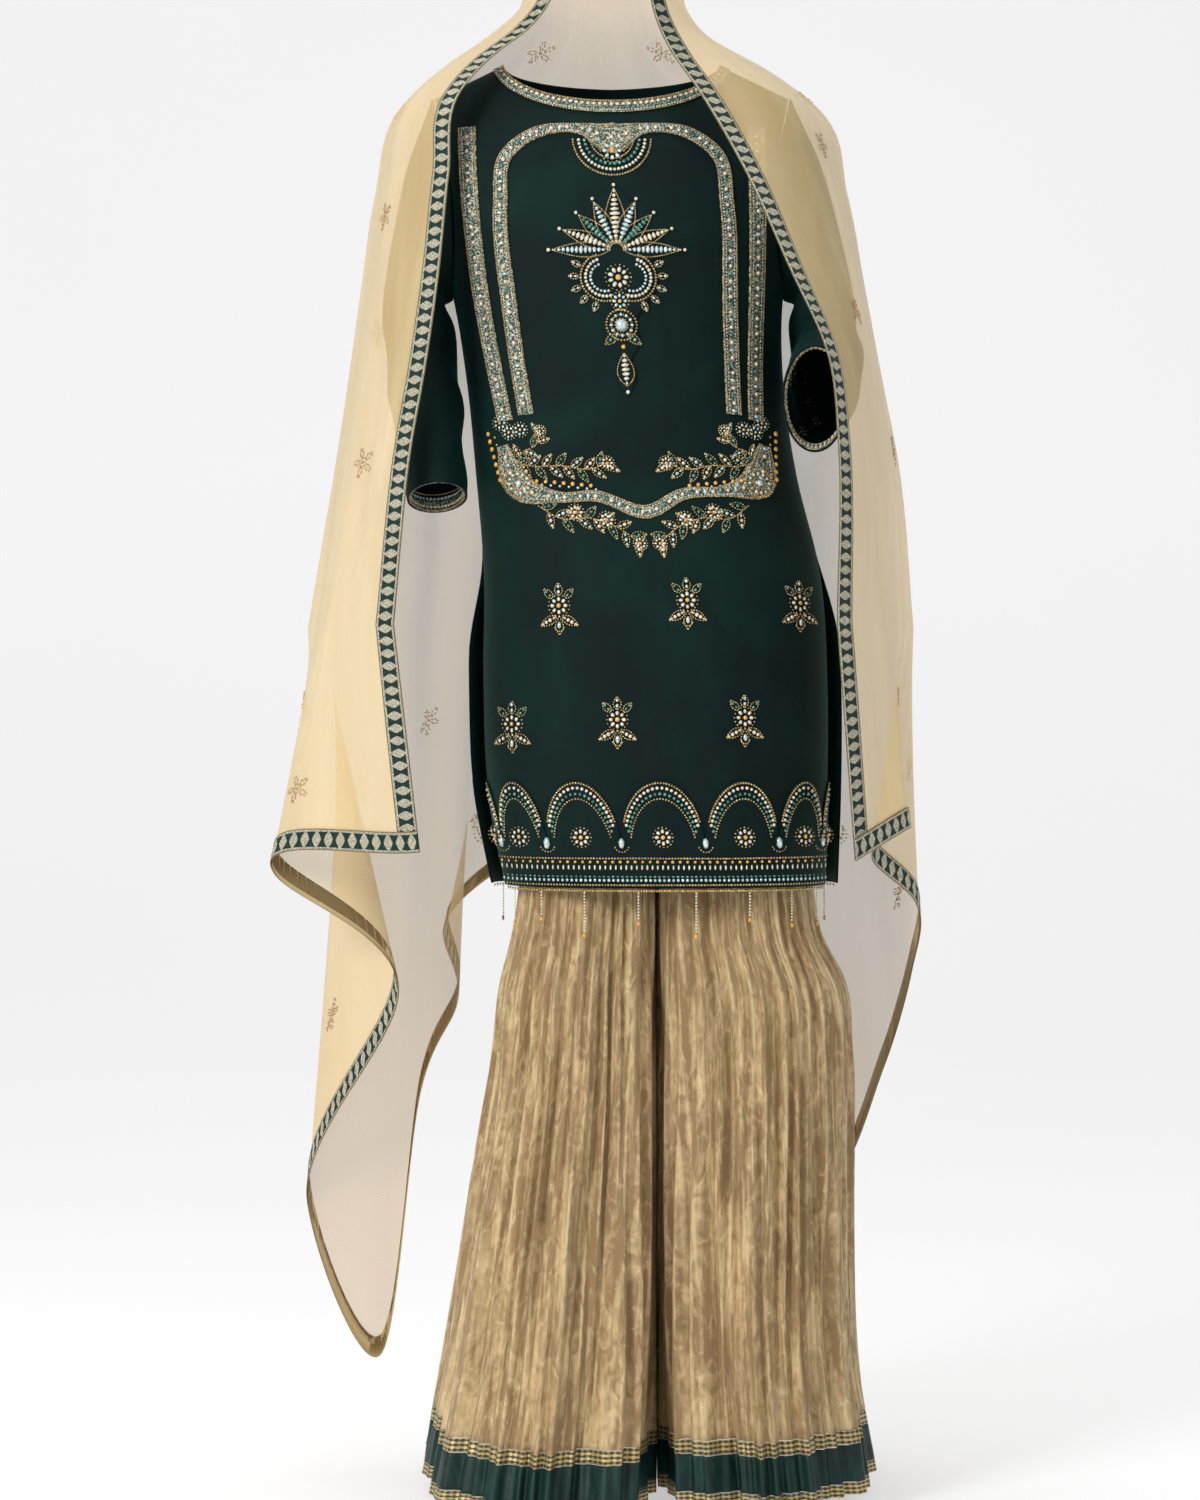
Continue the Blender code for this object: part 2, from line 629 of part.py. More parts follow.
def leg_point(hand, turn, z):
    """A point of a leg's outer face, the turn counted from the outer side over the front."""
    row = {name: read(LEGS[hand], "z", name, z) for name in ("inner", "outer", "front", "back", "fold")}
    centre = (row["inner"] + row["outer"]) / 2
    half = abs(row["outer"] - row["inner"]) / 2
    angle = 2 * pi * turn
    depth = -row["front"] if sin(angle) > 0 else row["back"]
    power = OVAL_POWER if cos(angle) > 0 else INNER_POWER
    scale = (abs(cos(angle)) ** power + abs(sin(angle)) ** power) ** (-1 / power)
    inner_side = max(0.0, -cos(angle)) ** 2
    swell = row["fold"] * (fold_wave(turn) - FOLD_MEAN) * (1 - INNER_FLATNESS * inner_side)
    x = centre + hand * (half + swell) * cos(angle) * scale
    y = -(depth + swell) * sin(angle) * scale
    half_gap = CROTCH_CLEARANCE / 2
    x = max(x, DIVISION_X + half_gap) if hand == RIGHT else min(x, DIVISION_X - half_gap)
    return Vector((x, y, z))


def leg_tube(name, hand, levels, look):
    """A tube round a leg between given heights."""
    turns = [k / LEG_COLUMNS for k in range(LEG_COLUMNS)]
    grid = []
    for z in levels:
        ring = [leg_point(hand, turn, z) for turn in turns]
        grid.append(ring if hand == LEFT else ring[::-1])
    return cloth(name, grid, TISSUE, look, wrap=True)


def leg(hand):
    """One leg with its lace, satin and lace bands."""
    word = "left" if hand == LEFT else "right"
    lace_top = LEG_HEM_Z + LOWER_LACE
    edges = [lace_top + SATIN + UPPER_LACE, lace_top + SATIN, lace_top]
    top = CROTCH_Z - CROTCH_GAP
    leg_tube("leg_" + word, hand, list(np.linspace(top, edges[0] + SEAM_GAP, LEG_ROWS + 1)), TISSUE_LOOK)
    leg_tube("upper_lace_" + word, hand, [edges[0], edges[1] + SEAM_GAP], LACE_LOOK)
    leg_tube("satin_band_" + word, hand, [edges[1], edges[2] + SEAM_GAP], SATIN_LOOK)
    leg_tube("lower_lace_" + word, hand, [edges[2], LEG_HEM_Z], LACE_LOOK)


def cape_point(s, z):
    """The dupatta on a level section, s from -1 at the left front edge over the back to 1."""
    value = {name: read(CAPE, "z", name, z) for name in Section._fields[1:]}
    xs = [
        value["left_edge_x"],
        between(value["left_edge_x"], value["left_side_x"], MIDDLE_X_SHARE),
        value["left_side_x"],
        between(value["back_x"], value["left_side_x"], QUARTER_X_SHARE),
        value["back_x"],
        between(value["back_x"], value["right_side_x"], QUARTER_X_SHARE),
        value["right_side_x"],
        between(value["right_edge_x"], value["right_side_x"], MIDDLE_X_SHARE),
        value["right_edge_x"],
    ]
    quarter_y = between(value["side_y"], value["back_y"], QUARTER_Y_SHARE)
    ys = [
        value["left_edge_y"],
        between(value["left_edge_y"], value["side_y"], MIDDLE_Y_SHARE),
        value["side_y"],
        quarter_y,
        value["back_y"],
        quarter_y,
        value["side_y"],
        between(value["right_edge_y"], value["side_y"], MIDDLE_Y_SHARE),
        value["right_edge_y"],
    ]
    keys = np.array(SECTION_S)
    return Vector((curve_value(keys, np.array(xs), s), curve_value(keys, np.array(ys), s), z))


def dupatta_point(s, level):
    """A point of the dupatta: level 0 to 1 follows the sections, 1 to 2 the fall to the lower edge."""
    if level <= 1:
        z = curve_value(np.linspace(0, 1, len(CAPE)), np.array([row.z for row in CAPE]), level)
        point = cape_point(s, z)
        depth = RIPPLE_DEPTH * ease((-0.1 - z) / 0.4)
    else:
        down = level - 1
        start = cape_point(s, FALL_Z)
        end = Vector([read(FALL, "s", axis, s) for axis in ("x", "y", "z")])
        point = start.lerp(end, down)
        depth = RIPPLE_DEPTH * (1 - down)
    out = Vector((point.x, point.y, 0)).normalized()
    return point + out * depth * (1 + cos(2 * pi * RIPPLES * s)) / 2 * (1 - abs(s) ** 4)


def inner_s(end, level):
    """Where the front border ends and the cloth starts, on one side of one row."""
    near = dupatta_point(end * (1 - REACH_STEP), level)
    reach = (near - dupatta_point(end, level)).length / REACH_STEP
    return end * (1 - DUPATTA_BORDER / reach)


def dupatta():
    """The veil: its cloth, the border that frames the face and the border round the ends and back edge."""
    levels = list(np.linspace(0, 1, len(CAPE))) + [1 + k / FALL_ROWS for k in range(1, FALL_ROWS)]
    cloth_grid = [[dupatta_point(s, level) for s in cloth_places(level)] for level in levels]
    left_strip = [[dupatta_point(s, level) for s in strip_places(-1, level)] for level in levels]
    right_strip = [[dupatta_point(s, level) for s in strip_places(1, level)] for level in levels]
    for height in (DUPATTA_BORDER, 0.0):
        cloth_grid.append([dupatta_point(s, lower_level(s, height)) for s in cloth_places(2)])
        left_strip.append([dupatta_point(s, lower_level(s, height)) for s in strip_places(-1, 2)])
        right_strip.append([dupatta_point(s, lower_level(s, height)) for s in strip_places(1, 2)])
    cloth("dupatta_cloth", [row[::-1] for row in cloth_grid], NET, NET_LOOK)
    front = left_strip[::-1] + right_strip[1:]
    cloth("dupatta_front_border", front, NET, LACE_LOOK)
    places = (strip_places(-1, 2) + cloth_places(2) + strip_places(1, 2)[::-1])[::-1]
    lower = [[dupatta_point(s, lower_level(s, height)) for s in places] for height in (DUPATTA_BORDER, 0.0)]
    cloth("dupatta_lower_border", raised(lower, LOWER_LIFT + NET), NET, LACE_LOOK, even=False)


def strip_places(end, level):
    """Where the columns of the front border lie, from its edge inwards."""
    inner = inner_s(end, level)
    return [end, (end + inner) / 2, inner]


def cloth_places(level):
    """Where the columns of the cloth lie between the two runs of the front border."""
    left, right = inner_s(-1, level) + COLUMN_GAP, inner_s(1, level) - COLUMN_GAP
    return list(np.linspace(left, right, DUPATTA_COLUMNS + 1))


def lower_level(s, height):
    """The level at a distance above the lower edge."""
    return 2 - height / (dupatta_point(s, 2) - dupatta_point(s, 1)).length


def kameez():
    """The tunic's panels, sleeves and embroidered trims."""
    grids = {side: body_panel(side) for side in (FRONT, BACK)}
    cloth("kameez_front", grids[FRONT], VELVET, VELVET_LOOK)
    cloth("kameez_back", grids[BACK], VELVET, VELVET_LOOK)
    for hand, word in ((LEFT, "left"), (RIGHT, "right")):
        rings = sleeve_rings(hand, grids)
        cloth("sleeve_" + word, rings, VELVET, VELVET_LOOK, wrap=True)
        cloth("cuff_" + word, raised(rings[-2:], LIFT + TRIM, wrap=True), TRIM, BEAD_LOOK, wrap=True)
        band_strip("side_band_" + word, SIDE_BAND, BAND_STEP, BAND_COLUMNS, mirror=hand)
    for side in (FRONT, BACK):
        neck_border(side)
        hem_border(side)
        hem_fringe(side)
    band_strip("frame_band", FRAME_BAND, BAND_STEP, BAND_COLUMNS)
    band_strip("yoke_band", YOKE_BAND, BAND_STEP, BAND_COLUMNS)
    band_strip("centre_motif", CENTRE_MOTIF, MOTIF_STEP, MOTIF_COLUMNS)


def main():
    """Builds the three garments."""
    for obj in list(bpy.data.objects):
        bpy.data.objects.remove(obj, do_unlink=True)
    bpy.context.scene.collection.children.link(bpy.data.collections.new(COLLECTION))
    kameez()
    hip_part()
    leg(LEFT)
    leg(RIGHT)
    dupatta()


main()
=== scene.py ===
"""Looks of a three-piece salwar suit: velvet kameez, crushed-tissue sharara, sheer dupatta.

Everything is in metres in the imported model's frame: +Z up, the front towards -Y, the origin
between the shoulders.
"""

from __future__ import annotations

import logging
from dataclasses import dataclass, field
from enum import Enum
from itertools import product
from math import cos, pi, sin, tau
from typing import Callable, Sequence

import bpy
import numpy as np
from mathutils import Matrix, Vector

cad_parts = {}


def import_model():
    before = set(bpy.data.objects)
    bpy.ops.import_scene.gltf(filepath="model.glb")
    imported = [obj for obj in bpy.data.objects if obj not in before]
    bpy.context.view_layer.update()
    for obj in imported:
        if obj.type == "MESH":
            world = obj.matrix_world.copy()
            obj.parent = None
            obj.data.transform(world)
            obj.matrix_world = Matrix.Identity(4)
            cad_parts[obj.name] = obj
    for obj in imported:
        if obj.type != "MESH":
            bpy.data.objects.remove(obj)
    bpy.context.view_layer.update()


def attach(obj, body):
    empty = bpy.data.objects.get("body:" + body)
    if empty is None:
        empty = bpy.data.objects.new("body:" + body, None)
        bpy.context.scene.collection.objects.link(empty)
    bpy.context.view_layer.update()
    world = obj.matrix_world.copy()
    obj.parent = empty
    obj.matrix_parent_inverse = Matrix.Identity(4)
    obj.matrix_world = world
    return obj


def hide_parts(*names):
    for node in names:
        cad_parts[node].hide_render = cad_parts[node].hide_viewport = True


LOG = logging.getLogger("salwar_suit")
SEED = 7
SIZE_SPREAD = 0.14

Colour = tuple[float, float, float]
Numbers = float | np.ndarray


class Side(Enum):
    """A body panel, by the sign of its Y direction."""

    FRONT = -1
    BACK = 1


class Hand(Enum):
    """A sleeve or leg, by the sign of its X direction, as a viewer in front sees it."""

    LEFT = -1
    RIGHT = 1


class Stone(Enum):
    """What a raised stitch of the embroidery is made of."""

    GOLD = "gold"
    PEARL = "pearl"
    CRYSTAL = "crystal"
    GREEN = "green"
    AMBER = "amber"


class Sock:
    """A shader socket that adds Math nodes for the operators used on it."""

    def __init__(self, tree: bpy.types.NodeTree, socket: bpy.types.NodeSocket) -> None:
        """Wraps one output socket of a tree."""
        self.tree = tree
        self.socket = socket

    def _math(self, operation: str, *values: Sock | float) -> Sock:
        """Adds a Math node.

        Args:
            operation: the node's operation.
            values: its inputs, links or numbers.

        Returns:
            The node's output.
        """
        node = self.tree.nodes.new("ShaderNodeMath")
        node.operation = operation
        for socket, value in zip(node.inputs, values):
            if isinstance(value, Sock):
                self.tree.links.new(value.socket, socket)
            else:
                socket.default_value = value
        return Sock(self.tree, node.outputs[0])

    def __add__(self, other: Sock | float) -> Sock:
        """Sum."""
        return self._math("ADD", self, other)

    __radd__ = __add__

    def __sub__(self, other: Sock | float) -> Sock:
        """Difference."""
        return self._math("SUBTRACT", self, other)

    def __rsub__(self, other: float) -> Sock:
        """Difference from a number."""
        return self._math("SUBTRACT", other, self)

    def __mul__(self, other: Sock | float) -> Sock:
        """Product."""
        return self._math("MULTIPLY", self, other)

    __rmul__ = __mul__

    def __pow__(self, other: float) -> Sock:
        """Power."""
        return self._math("POWER", self, other)

    def __lt__(self, other: Sock | float) -> Sock:
        """1 where this is less than the other."""
        return self._math("LESS_THAN", self, other)

    def __gt__(self, other: Sock | float) -> Sock:
        """1 where this is more than the other."""
        return self._math("GREATER_THAN", self, other)

    def __abs__(self) -> Sock:
        """Absolute value."""
        return self._math("ABSOLUTE", self)

    def part(self) -> Sock:
        """Fractional part."""
        return self._math("FRACT", self)

    def clamped(self) -> Sock:
        """Held between 0 and 1."""
        return self._math("MAXIMUM", self._math("MINIMUM", self, 1.0), 0.0)


class Shader:
    """A material's node tree with short ways to add to it."""

    def __init__(self, name: str) -> None:
        """Makes a material with its Principled shader."""
        self.material = bpy.data.materials.new(name)
        self.material.use_nodes = True
        self.tree = self.material.node_tree
        self.surface = self.tree.nodes["Principled BSDF"]

    def node(self, kind: str, settings: dict[str, object] | None = None, **sockets: object) -> bpy.types.Node:
        """Adds any node.

        Args:
            kind: the node's type.
            settings: its properties, set first.
            sockets: values or links of its inputs, spaces in their names as underscores.

        Returns:
            The node.
        """
        node = self.tree.nodes.new(kind)
        for key, value in (settings or {}).items():
            setattr(node, key, value)
        for name, value in sockets.items():
            self.plug(node.inputs[name.replace("_", " ")], value)
        return node

    def plug(self, socket: bpy.types.NodeSocket, value: object) -> None:
        """Links or sets one input."""
        if isinstance(value, Sock):
            self.tree.links.new(value.socket, socket)
        else:
            socket.default_value = (*value, 1.0) if socket.type == "RGBA" and len(value) == 3 else value

    def out(self, node: bpy.types.Node, name: str | int = 0) -> Sock:
        """An output of a node."""
        return Sock(self.tree, node.outputs[name])

    def place(self, scale: Sequence[float] = (1, 1, 1), uv: bool = False) -> Sock:
        """Object or UV coordinates, scaled."""
        source = self.out(self.node("ShaderNodeTexCoord"), "UV" if uv else "Object")
        return self.out(self.node("ShaderNodeMapping", Vector=source, Scale=scale))

    def noise(self, at: Sock, scale: float, detail: float = 4.0, distortion: float = 0.0) -> Sock:
        """Smooth noise around 0.5."""
        node = self.node("ShaderNodeTexNoise", Vector=at, Scale=scale, Detail=detail, Distortion=distortion)
        return self.out(node, "Fac")

    def wave(self, at: Sock, scale: float, distortion: float = 0.0, direction: str = "X") -> Sock:
        """Bands across one direction."""
        settings = {"wave_type": "BANDS", "bands_direction": direction, "wave_profile": "SIN"}
        node = self.node("ShaderNodeTexWave", settings, Vector=at, Scale=scale, Distortion=distortion)
        return self.out(node, "Fac")

    def mix(self, share: Sock, first: Colour | Sock, second: Colour | Sock) -> Sock:
        """A colour between two."""
        node = self.node("ShaderNodeMix", {"data_type": "RGBA"})
        self.plug(node.inputs["Factor"], share)
        self.plug(node.inputs[6], first)
        self.plug(node.inputs[7], second)
        return self.out(node, 2)

    def relief(self, height: Sock, depth: float, strength: float = 1.0) -> None:
        """Bump from a height, its depth in metres."""
        bump = self.node("ShaderNodeBump", Height=height, Distance=depth, Strength=strength)
        self.tree.links.new(bump.outputs[0], self.surface.inputs["Normal"])

    def set(self, **sockets: object) -> None:
        """Sets or links inputs of the Principled shader."""
        for name, value in sockets.items():
            self.plug(self.surface.inputs[name.replace("_", " ")], value)


@dataclass(frozen=True)
class Velvet:
    """Cotton-silk velvet: deep green pile with brushed patches and a soft sheen."""

    deep: Colour = (0.0014, 0.0095, 0.0090)
    brushed: Colour = (0.0022, 0.0190, 0.0165)
    sheen: Colour = (0.03, 0.24, 0.21)

    def material(self) -> bpy.types.Material:
        """The velvet's material."""
        shader = Shader("green_velvet")
        at = shader.place()
        patches = shader.noise(at, 9.0, 3.0, 0.6)
        streaks = shader.noise(shader.place((1.0, 1.0, 0.25)), 42.0, 3.0)
        pile = shader.noise(at, 1900.0, 1.0)
        share = ((patches - 0.40) * 2.6 + (streaks - 0.5) * 0.8).clamped()
        shader.set(
            Base_Color=shader.mix(share, self.deep, self.brushed),
            Roughness=0.62 + 0.18 * pile,
            Sheen_Weight=0.30,
            Sheen_Roughness=0.32,
            Sheen_Tint=self.sheen,
            Specular_IOR_Level=0.12,
        )
        shader.relief(pile * 0.6 + streaks * 0.4, 0.0006, 0.55)
        return shader.material


@dataclass(frozen=True)
class Tissue:
    """Crushed metallic tissue: gold threads and fine upright creases, with painted shade in the creases and
    painted glints.
    """

    # shade is painted shade for the crease troughs and glint a painted glint colour; body is the cloth's
    # gold.
    shade: Colour = (0.400, 0.250, 0.110)
    body: Colour = (0.900, 0.680, 0.360)
    glint: Colour = (1.000, 0.880, 0.600)
    crease_pitch: float = 150.0

    def material(self) -> bpy.types.Material:
        """The tissue's material; U runs round a leg and V down it, in metres."""
        shader = Shader("crushed_gold_tissue")
        cloth = shader.place(uv=True)
        long = shader.place((1.0, 0.07, 1.0), uv=True)
        creases = shader.noise(long, self.crease_pitch, 5.0, 0.7)
        broad = shader.noise(shader.place((1.0, 0.16, 1.0), uv=True), 34.0, 4.0, 1.1)
        crush = shader.noise(shader.place((1.0, 0.45, 1.0), uv=True), 95.0, 6.0, 1.6)
        glint_specks = shader.noise(shader.place((1.0, 0.35, 1.0), uv=True), 900.0, 2.0)
        threads = shader.wave(cloth, 620.0, 0.6, "Y")
        # Share of painted light: painted shade in the troughs of the crease, crush and fold noises, full gold
        # on their ridges; it also sets the roughness.
        light = ((creases - 0.40) * 3.0 + (crush - 0.5) * 2.0 + (broad - 0.5) * 1.8).clamped()
        # Painted glints: bright flecks mixed into the base colour, which also raise the metallic.
        painted_glint_share = ((glint_specks * 0.7 + crush * 0.5 - 0.72) * 9.0).clamped() * 0.75
        colour = shader.mix(light, self.shade, self.body)
        shader.set(
            Base_Color=shader.mix(painted_glint_share, colour, self.glint),
            Roughness=0.44 - 0.14 * light,
            Metallic=0.12 + 0.30 * painted_glint_share,
            Sheen_Weight=0.20,
            Sheen_Tint=self.glint,
        )
        height = creases * 0.55 + crush * 0.50 + broad * 0.7 + threads * 0.05
        shader.relief(height, 0.0060, 0.95)
        return shader.material


@dataclass(frozen=True)
class Net:
    """Sheer organza net: fine threads with open gaps and cloudy patches."""

    thread: Colour = (0.780, 0.560, 0.250)
    pale: Colour = (0.930, 0.770, 0.470)
    cover: float = 0.56

    def material(self) -> bpy.types.Material:
        """The net's material; U and V are metres over the cloth."""
        shader = Shader("sheer_gold_net")
        cloth = shader.place(uv=True)
        across = shader.wave(cloth, 420.0, 0.3, "X")
        along = shader.wave(cloth, 420.0, 0.3, "Y")
        clouds = shader.noise(shader.place((1.0, 0.2, 1.0), uv=True), 22.0, 4.0, 0.8)
        shader.set(
            Base_Color=shader.mix((clouds - 0.25).clamped(), self.thread, self.pale),
            Roughness=0.55,
            Alpha=(self.cover + 0.10 * (across * along) + 0.20 * (clouds - 0.5)).clamped(),
            Sheen_Weight=0.30,
            Sheen_Tint=self.pale,
        )
        shader.relief(across * 0.5 + along * 0.5 + clouds, 0.0003, 0.5)
        return shader.material


@dataclass(frozen=True)
class Satin:
    """Green hem satin with soft cross creases, with painted light on the crease ridges and painted shade in
    their troughs.
    """

    deep: Colour = (0.0018, 0.0150, 0.0120)
    light: Colour = (0.0050, 0.0460, 0.0350)

    def material(self) -> bpy.types.Material:
        """The satin's material."""
        shader = Shader("green_satin")
        creases = shader.noise(shader.place((1.0, 1.0, 0.4)), 70.0, 4.0, 0.8)
        weave = shader.noise(shader.place((1.0, 1.0, 6.0)), 800.0, 1.0)
        shader.set(
            # Painted shade in the crease troughs (deep) and painted light on their ridges (light), from the
            # same crease noise as the bump.
            Base_Color=shader.mix(((creases - 0.35) * 2.0).clamped(), self.deep, self.light),
            Roughness=0.42 + 0.12 * weave,
            Specular_IOR_Level=0.30,
        )
        shader.relief(creases + weave * 0.05, 0.0016, 0.7)
        return shader.material


@dataclass(frozen=True)
class GoldLace:
    """Narrow woven lace: rows of gold scallops over a dark green ground."""

    gold: Colour = (0.560, 0.420, 0.190)
    ground: Colour = (0.030, 0.050, 0.032)
    rows: float = 3.0
    pitch: float = 0.0065

    def material(self) -> bpy.types.Material:
        """The lace's material; U runs along it in metres and V across it from 0 to 1."""
        shader = Shader("gold_lace")
        split = shader.node("ShaderNodeSeparateXYZ", Vector=shader.place(uv=True))
        along, across = shader.out(split, 0), shader.out(split, 1)
        rows = abs((across * self.rows).part() - 0.5) * 2.0
        beads = abs((along * (1 / self.pitch)).part() - 0.5) * 2.0
        wear = shader.noise(shader.place(), 260.0, 3.0)
        thread = ((rows * 0.9 + beads * 0.55 + (wear - 0.5) * 0.5 - 0.52) * 4.0).clamped()
        shader.set(
            Base_Color=shader.mix(thread, self.ground, self.gold),
            Roughness=0.46,
            Metallic=thread * 0.65,
        )
        shader.relief(thread, 0.0010, 0.9)
        return shader.material


@dataclass(frozen=True)
class LensBorder:
    """Dupatta border: silver and ivory sequins round a row of dark green lens shapes."""

    ivory: Colour = (0.720, 0.660, 0.480)
    silver: Colour = (0.360, 0.350, 0.270)
    green: Colour = (0.002, 0.024, 0.018)
    edge: Colour = (0.240, 0.190, 0.090)
    pitch: float = 0.0128

    def material(self) -> bpy.types.Material:
        """The border's material; U runs along it in metres and V across it from 0 to 1."""
        shader = Shader("lens_border")
        split = shader.node("ShaderNodeSeparateXYZ", Vector=shader.place(uv=True))
        along, across = shader.out(split, 0), shader.out(split, 1)
        phase = (along * (1 / self.pitch)).part()
        middle = abs(across - 0.5)
        lens = abs(phase - 0.5) < (0.10 + 1.25 * middle**1.4 + 0.03)
        inside = middle < 0.36
        cells = shader.node("ShaderNodeTexVoronoi", Vector=shader.place(), Scale=620.0)
        sequins = shader.out(cells, "Distance")
        tint = shader.noise(shader.place(), 900.0, 1.0)
        ground = shader.mix(((sequins - 0.25) * 3.0).clamped(), self.ivory, self.silver)
        green_part = (lens * inside).clamped() * ((tint - 0.20) * 12.0).clamped()
        coloured = shader.mix(green_part, ground, self.green)
        rim = middle > 0.455
        shader.set(
            Base_Color=shader.mix(rim, coloured, self.edge),
            Roughness=0.34 + 0.2 * tint + 0.2 * green_part,
            Metallic=0.45 - 0.45 * green_part,
            Specular_IOR_Level=0.35,
        )
        shader.relief(1 - sequins * 1.2 + rim * 0.4, 0.0012, 0.9)
        return shader.material


@dataclass(frozen=True)
class Lame:
    """Wrong side of the dupatta border: dull olive-gold backing cloth."""

    low: Colour = (0.120, 0.100, 0.045)
    high: Colour = (0.300, 0.245, 0.120)

    def material(self) -> bpy.types.Material:
        """The backing's material."""
        shader = Shader("olive_backing")
        weave = shader.noise(shader.place((1.0, 1.0, 1.0)), 700.0, 2.0)
        cloud = shader.noise(shader.place(), 40.0, 3.0)
        share = ((cloud - 0.3) * 1.8 + (weave - 0.5) * 0.5).clamped()
        shader.set(Base_Color=shader.mix(share, self.low, self.high), Roughness=0.48, Metallic=0.35)
        shader.relief(weave, 0.0004, 0.6)
        return shader.material


@dataclass(frozen=True)
class VeilThread:
    """Dull gold thread of the veil's small flowers."""

    dark: Colour = (0.330, 0.220, 0.085)
    light: Colour = (0.640, 0.460, 0.210)

    def material(self) -> bpy.types.Material:
        """The thread's material."""
        shader = Shader("veil_thread")
        tint = shader.noise(shader.place(), 600.0, 2.0)
        shader.set(Base_Color=shader.mix(tint, self.dark, self.light), Roughness=0.45, Metallic=0.3)
        shader.relief(tint, 0.0003, 0.6)
        return shader.material


@dataclass(frozen=True)
class BeadFinish:
    """One kind of bead or stone."""

    stone: Stone
    colour: Colour
    dark: Colour
    roughness: float
    metallic: float

    def material(self) -> bpy.types.Material:
        """The bead's material, its colour varied from bead to bead."""
        shader = Shader(self.stone.value + "_beads")
        at = shader.place()
        tint = shader.noise(at, 330.0, 1.0)
        fleck = shader.noise(at, 1500.0, 1.0)
        share = ((tint - 0.38) * 3.0).clamped()
        shader.set(
            Base_Color=shader.mix(share, self.dark, self.colour),
            Roughness=self.roughness + 0.12 * fleck,
            Metallic=self.metallic,
            Coat_Weight=0.35,
        )
        shader.relief(fleck, 0.0004, 0.5)
        return shader.material


BEADS = (
    BeadFinish(Stone.GOLD, (0.78, 0.60, 0.30), (0.42, 0.28, 0.10), 0.26, 0.80),
    BeadFinish(Stone.PEARL, (0.90, 0.84, 0.70), (0.66, 0.58, 0.42), 0.22, 0.12),
    BeadFinish(Stone.CRYSTAL, (0.82, 0.93, 0.93), (0.42, 0.58, 0.58), 0.10, 0.30),
    BeadFinish(Stone.GREEN, (0.20, 0.46, 0.38), (0.03, 0.15, 0.11), 0.14, 0.30),
    BeadFinish(Stone.AMBER, (0.95, 0.56, 0.14), (0.66, 0.32, 0.06), 0.20, 0.20),
)


def curve_value(keys: np.ndarray, values: np.ndarray, at: Numbers) -> Numbers:
    """Reads a smooth curve through values.

    Args:
        keys: places of the values, rising or falling.
        values: the values, one row for each key.
        at: the place or places asked for.

    Returns:
        The value or values there.
    """
    if keys[0] > keys[-1]:
        keys, values = keys[::-1], values[::-1]
    slopes = np.gradient(values, keys, axis=0)
    at = np.clip(at, keys[0], keys[-1])
    low = np.clip(np.searchsorted(keys, at) - 1, 0, len(keys) - 2)
    spread = (...,) + (None,) * (values.ndim - 1)
    span = (keys[low + 1] - keys[low])[spread]
    t = (at - keys[low])[spread] / span
    start = (2 * t**3 - 3 * t**2 + 1) * values[low] + (t**3 - 2 * t**2 + t) * span * slopes[low]
    end = (3 * t**2 - 2 * t**3) * values[low + 1] + (t**3 - t**2) * span * slopes[low + 1]
    return start + end


class Table:
    """A short table of sizes with named columns, read along smooth curves."""

    def __init__(self, names: str, rows: Sequence[Sequence[float]]) -> None:
        """Keeps the columns; the first one is the key."""
        self.names = names.split()
        self.rows = np.array(rows)

    def at(self, name: str, place: Numbers) -> Numbers:
        """One column at places along the key."""
        return curve_value(self.rows[:, 0], self.rows[:, self.names.index(name)], place)

    def row_at(self, place: float) -> dict[str, float]:
        """Every column at one place along the key."""
        return dict(zip(self.names, curve_value(self.rows[:, 0], self.rows, place)))


def ease(value: Numbers) -> Numbers:
    """0 to 1 with level ends."""
    value = np.clip(value, 0.0, 1.0)
    return value * value * (3 - 2 * value)


def between(start: float, end: float, share: float) -> float:
    """The value at a share of the way from start to end."""
    return start + (end - start) * share


def grid_normals(grid: np.ndarray, wrap: bool = False) -> np.ndarray:
    """Unit normals of a grid of points whose rows run down and columns to the right, seen from outside."""
    down = np.gradient(grid, axis=0)
    if wrap:
        right = (np.roll(grid, -1, axis=1) - np.roll(grid, 1, axis=1)) / 2
    else:
        right = np.gradient(grid, axis=1)
    normals = np.cross(down, right)
    return normals / np.maximum(np.linalg.norm(normals, axis=2, keepdims=True), 1e-9)


def run_lengths(path: np.ndarray) -> np.ndarray:
    """How far each point of a path lies along it, from 0."""
    return np.concatenate([[0], np.cumsum(np.linalg.norm(np.diff(path, axis=0), axis=1))])


def sheet_mesh(name: str, grid: np.ndarray, uvs: np.ndarray, wrap: bool = False) -> bpy.types.Object:
    """Makes a smooth cloth surface from a grid.

    Args:
        name: the piece's name.
        grid: rows by columns by 3, rows running down and columns to the right, seen from outside.
        uvs: rows by columns by 2, one more column than the grid where it wraps.
        wrap: whether the last column joins the first.

    Returns:
        The piece, linked to the scene.
    """
    rows, columns = grid.shape[:2]
    mesh = bpy.data.meshes.new(name)
    index = np.arange(rows * columns).reshape(rows, columns)
    last = columns if wrap else columns - 1
    left = np.arange(last)
    right = (left + 1) % columns
    upper, lower = index[:-1], index[1:]
    faces = np.stack([upper[:, left], lower[:, left], lower[:, right], upper[:, right]], axis=-1)
    mesh.from_pydata(grid.reshape(-1, 3).tolist(), [], faces.reshape(-1, 4).tolist())
    upper, lower = uvs[:-1, : last + 1], uvs[1:, : last + 1]
    corner = np.stack([upper[:, :-1], lower[:, :-1], lower[:, 1:], upper[:, 1:]], axis=2)
    layer = mesh.uv_layers.new(name="UVMap")
    layer.data.foreach_set("uv", corner.reshape(-1).astype(np.float32))
    mesh.polygons.foreach_set("use_smooth", [True] * len(mesh.polygons))
    obj = bpy.data.objects.new(name, mesh)
    bpy.context.scene.collection.objects.link(obj)
    return obj


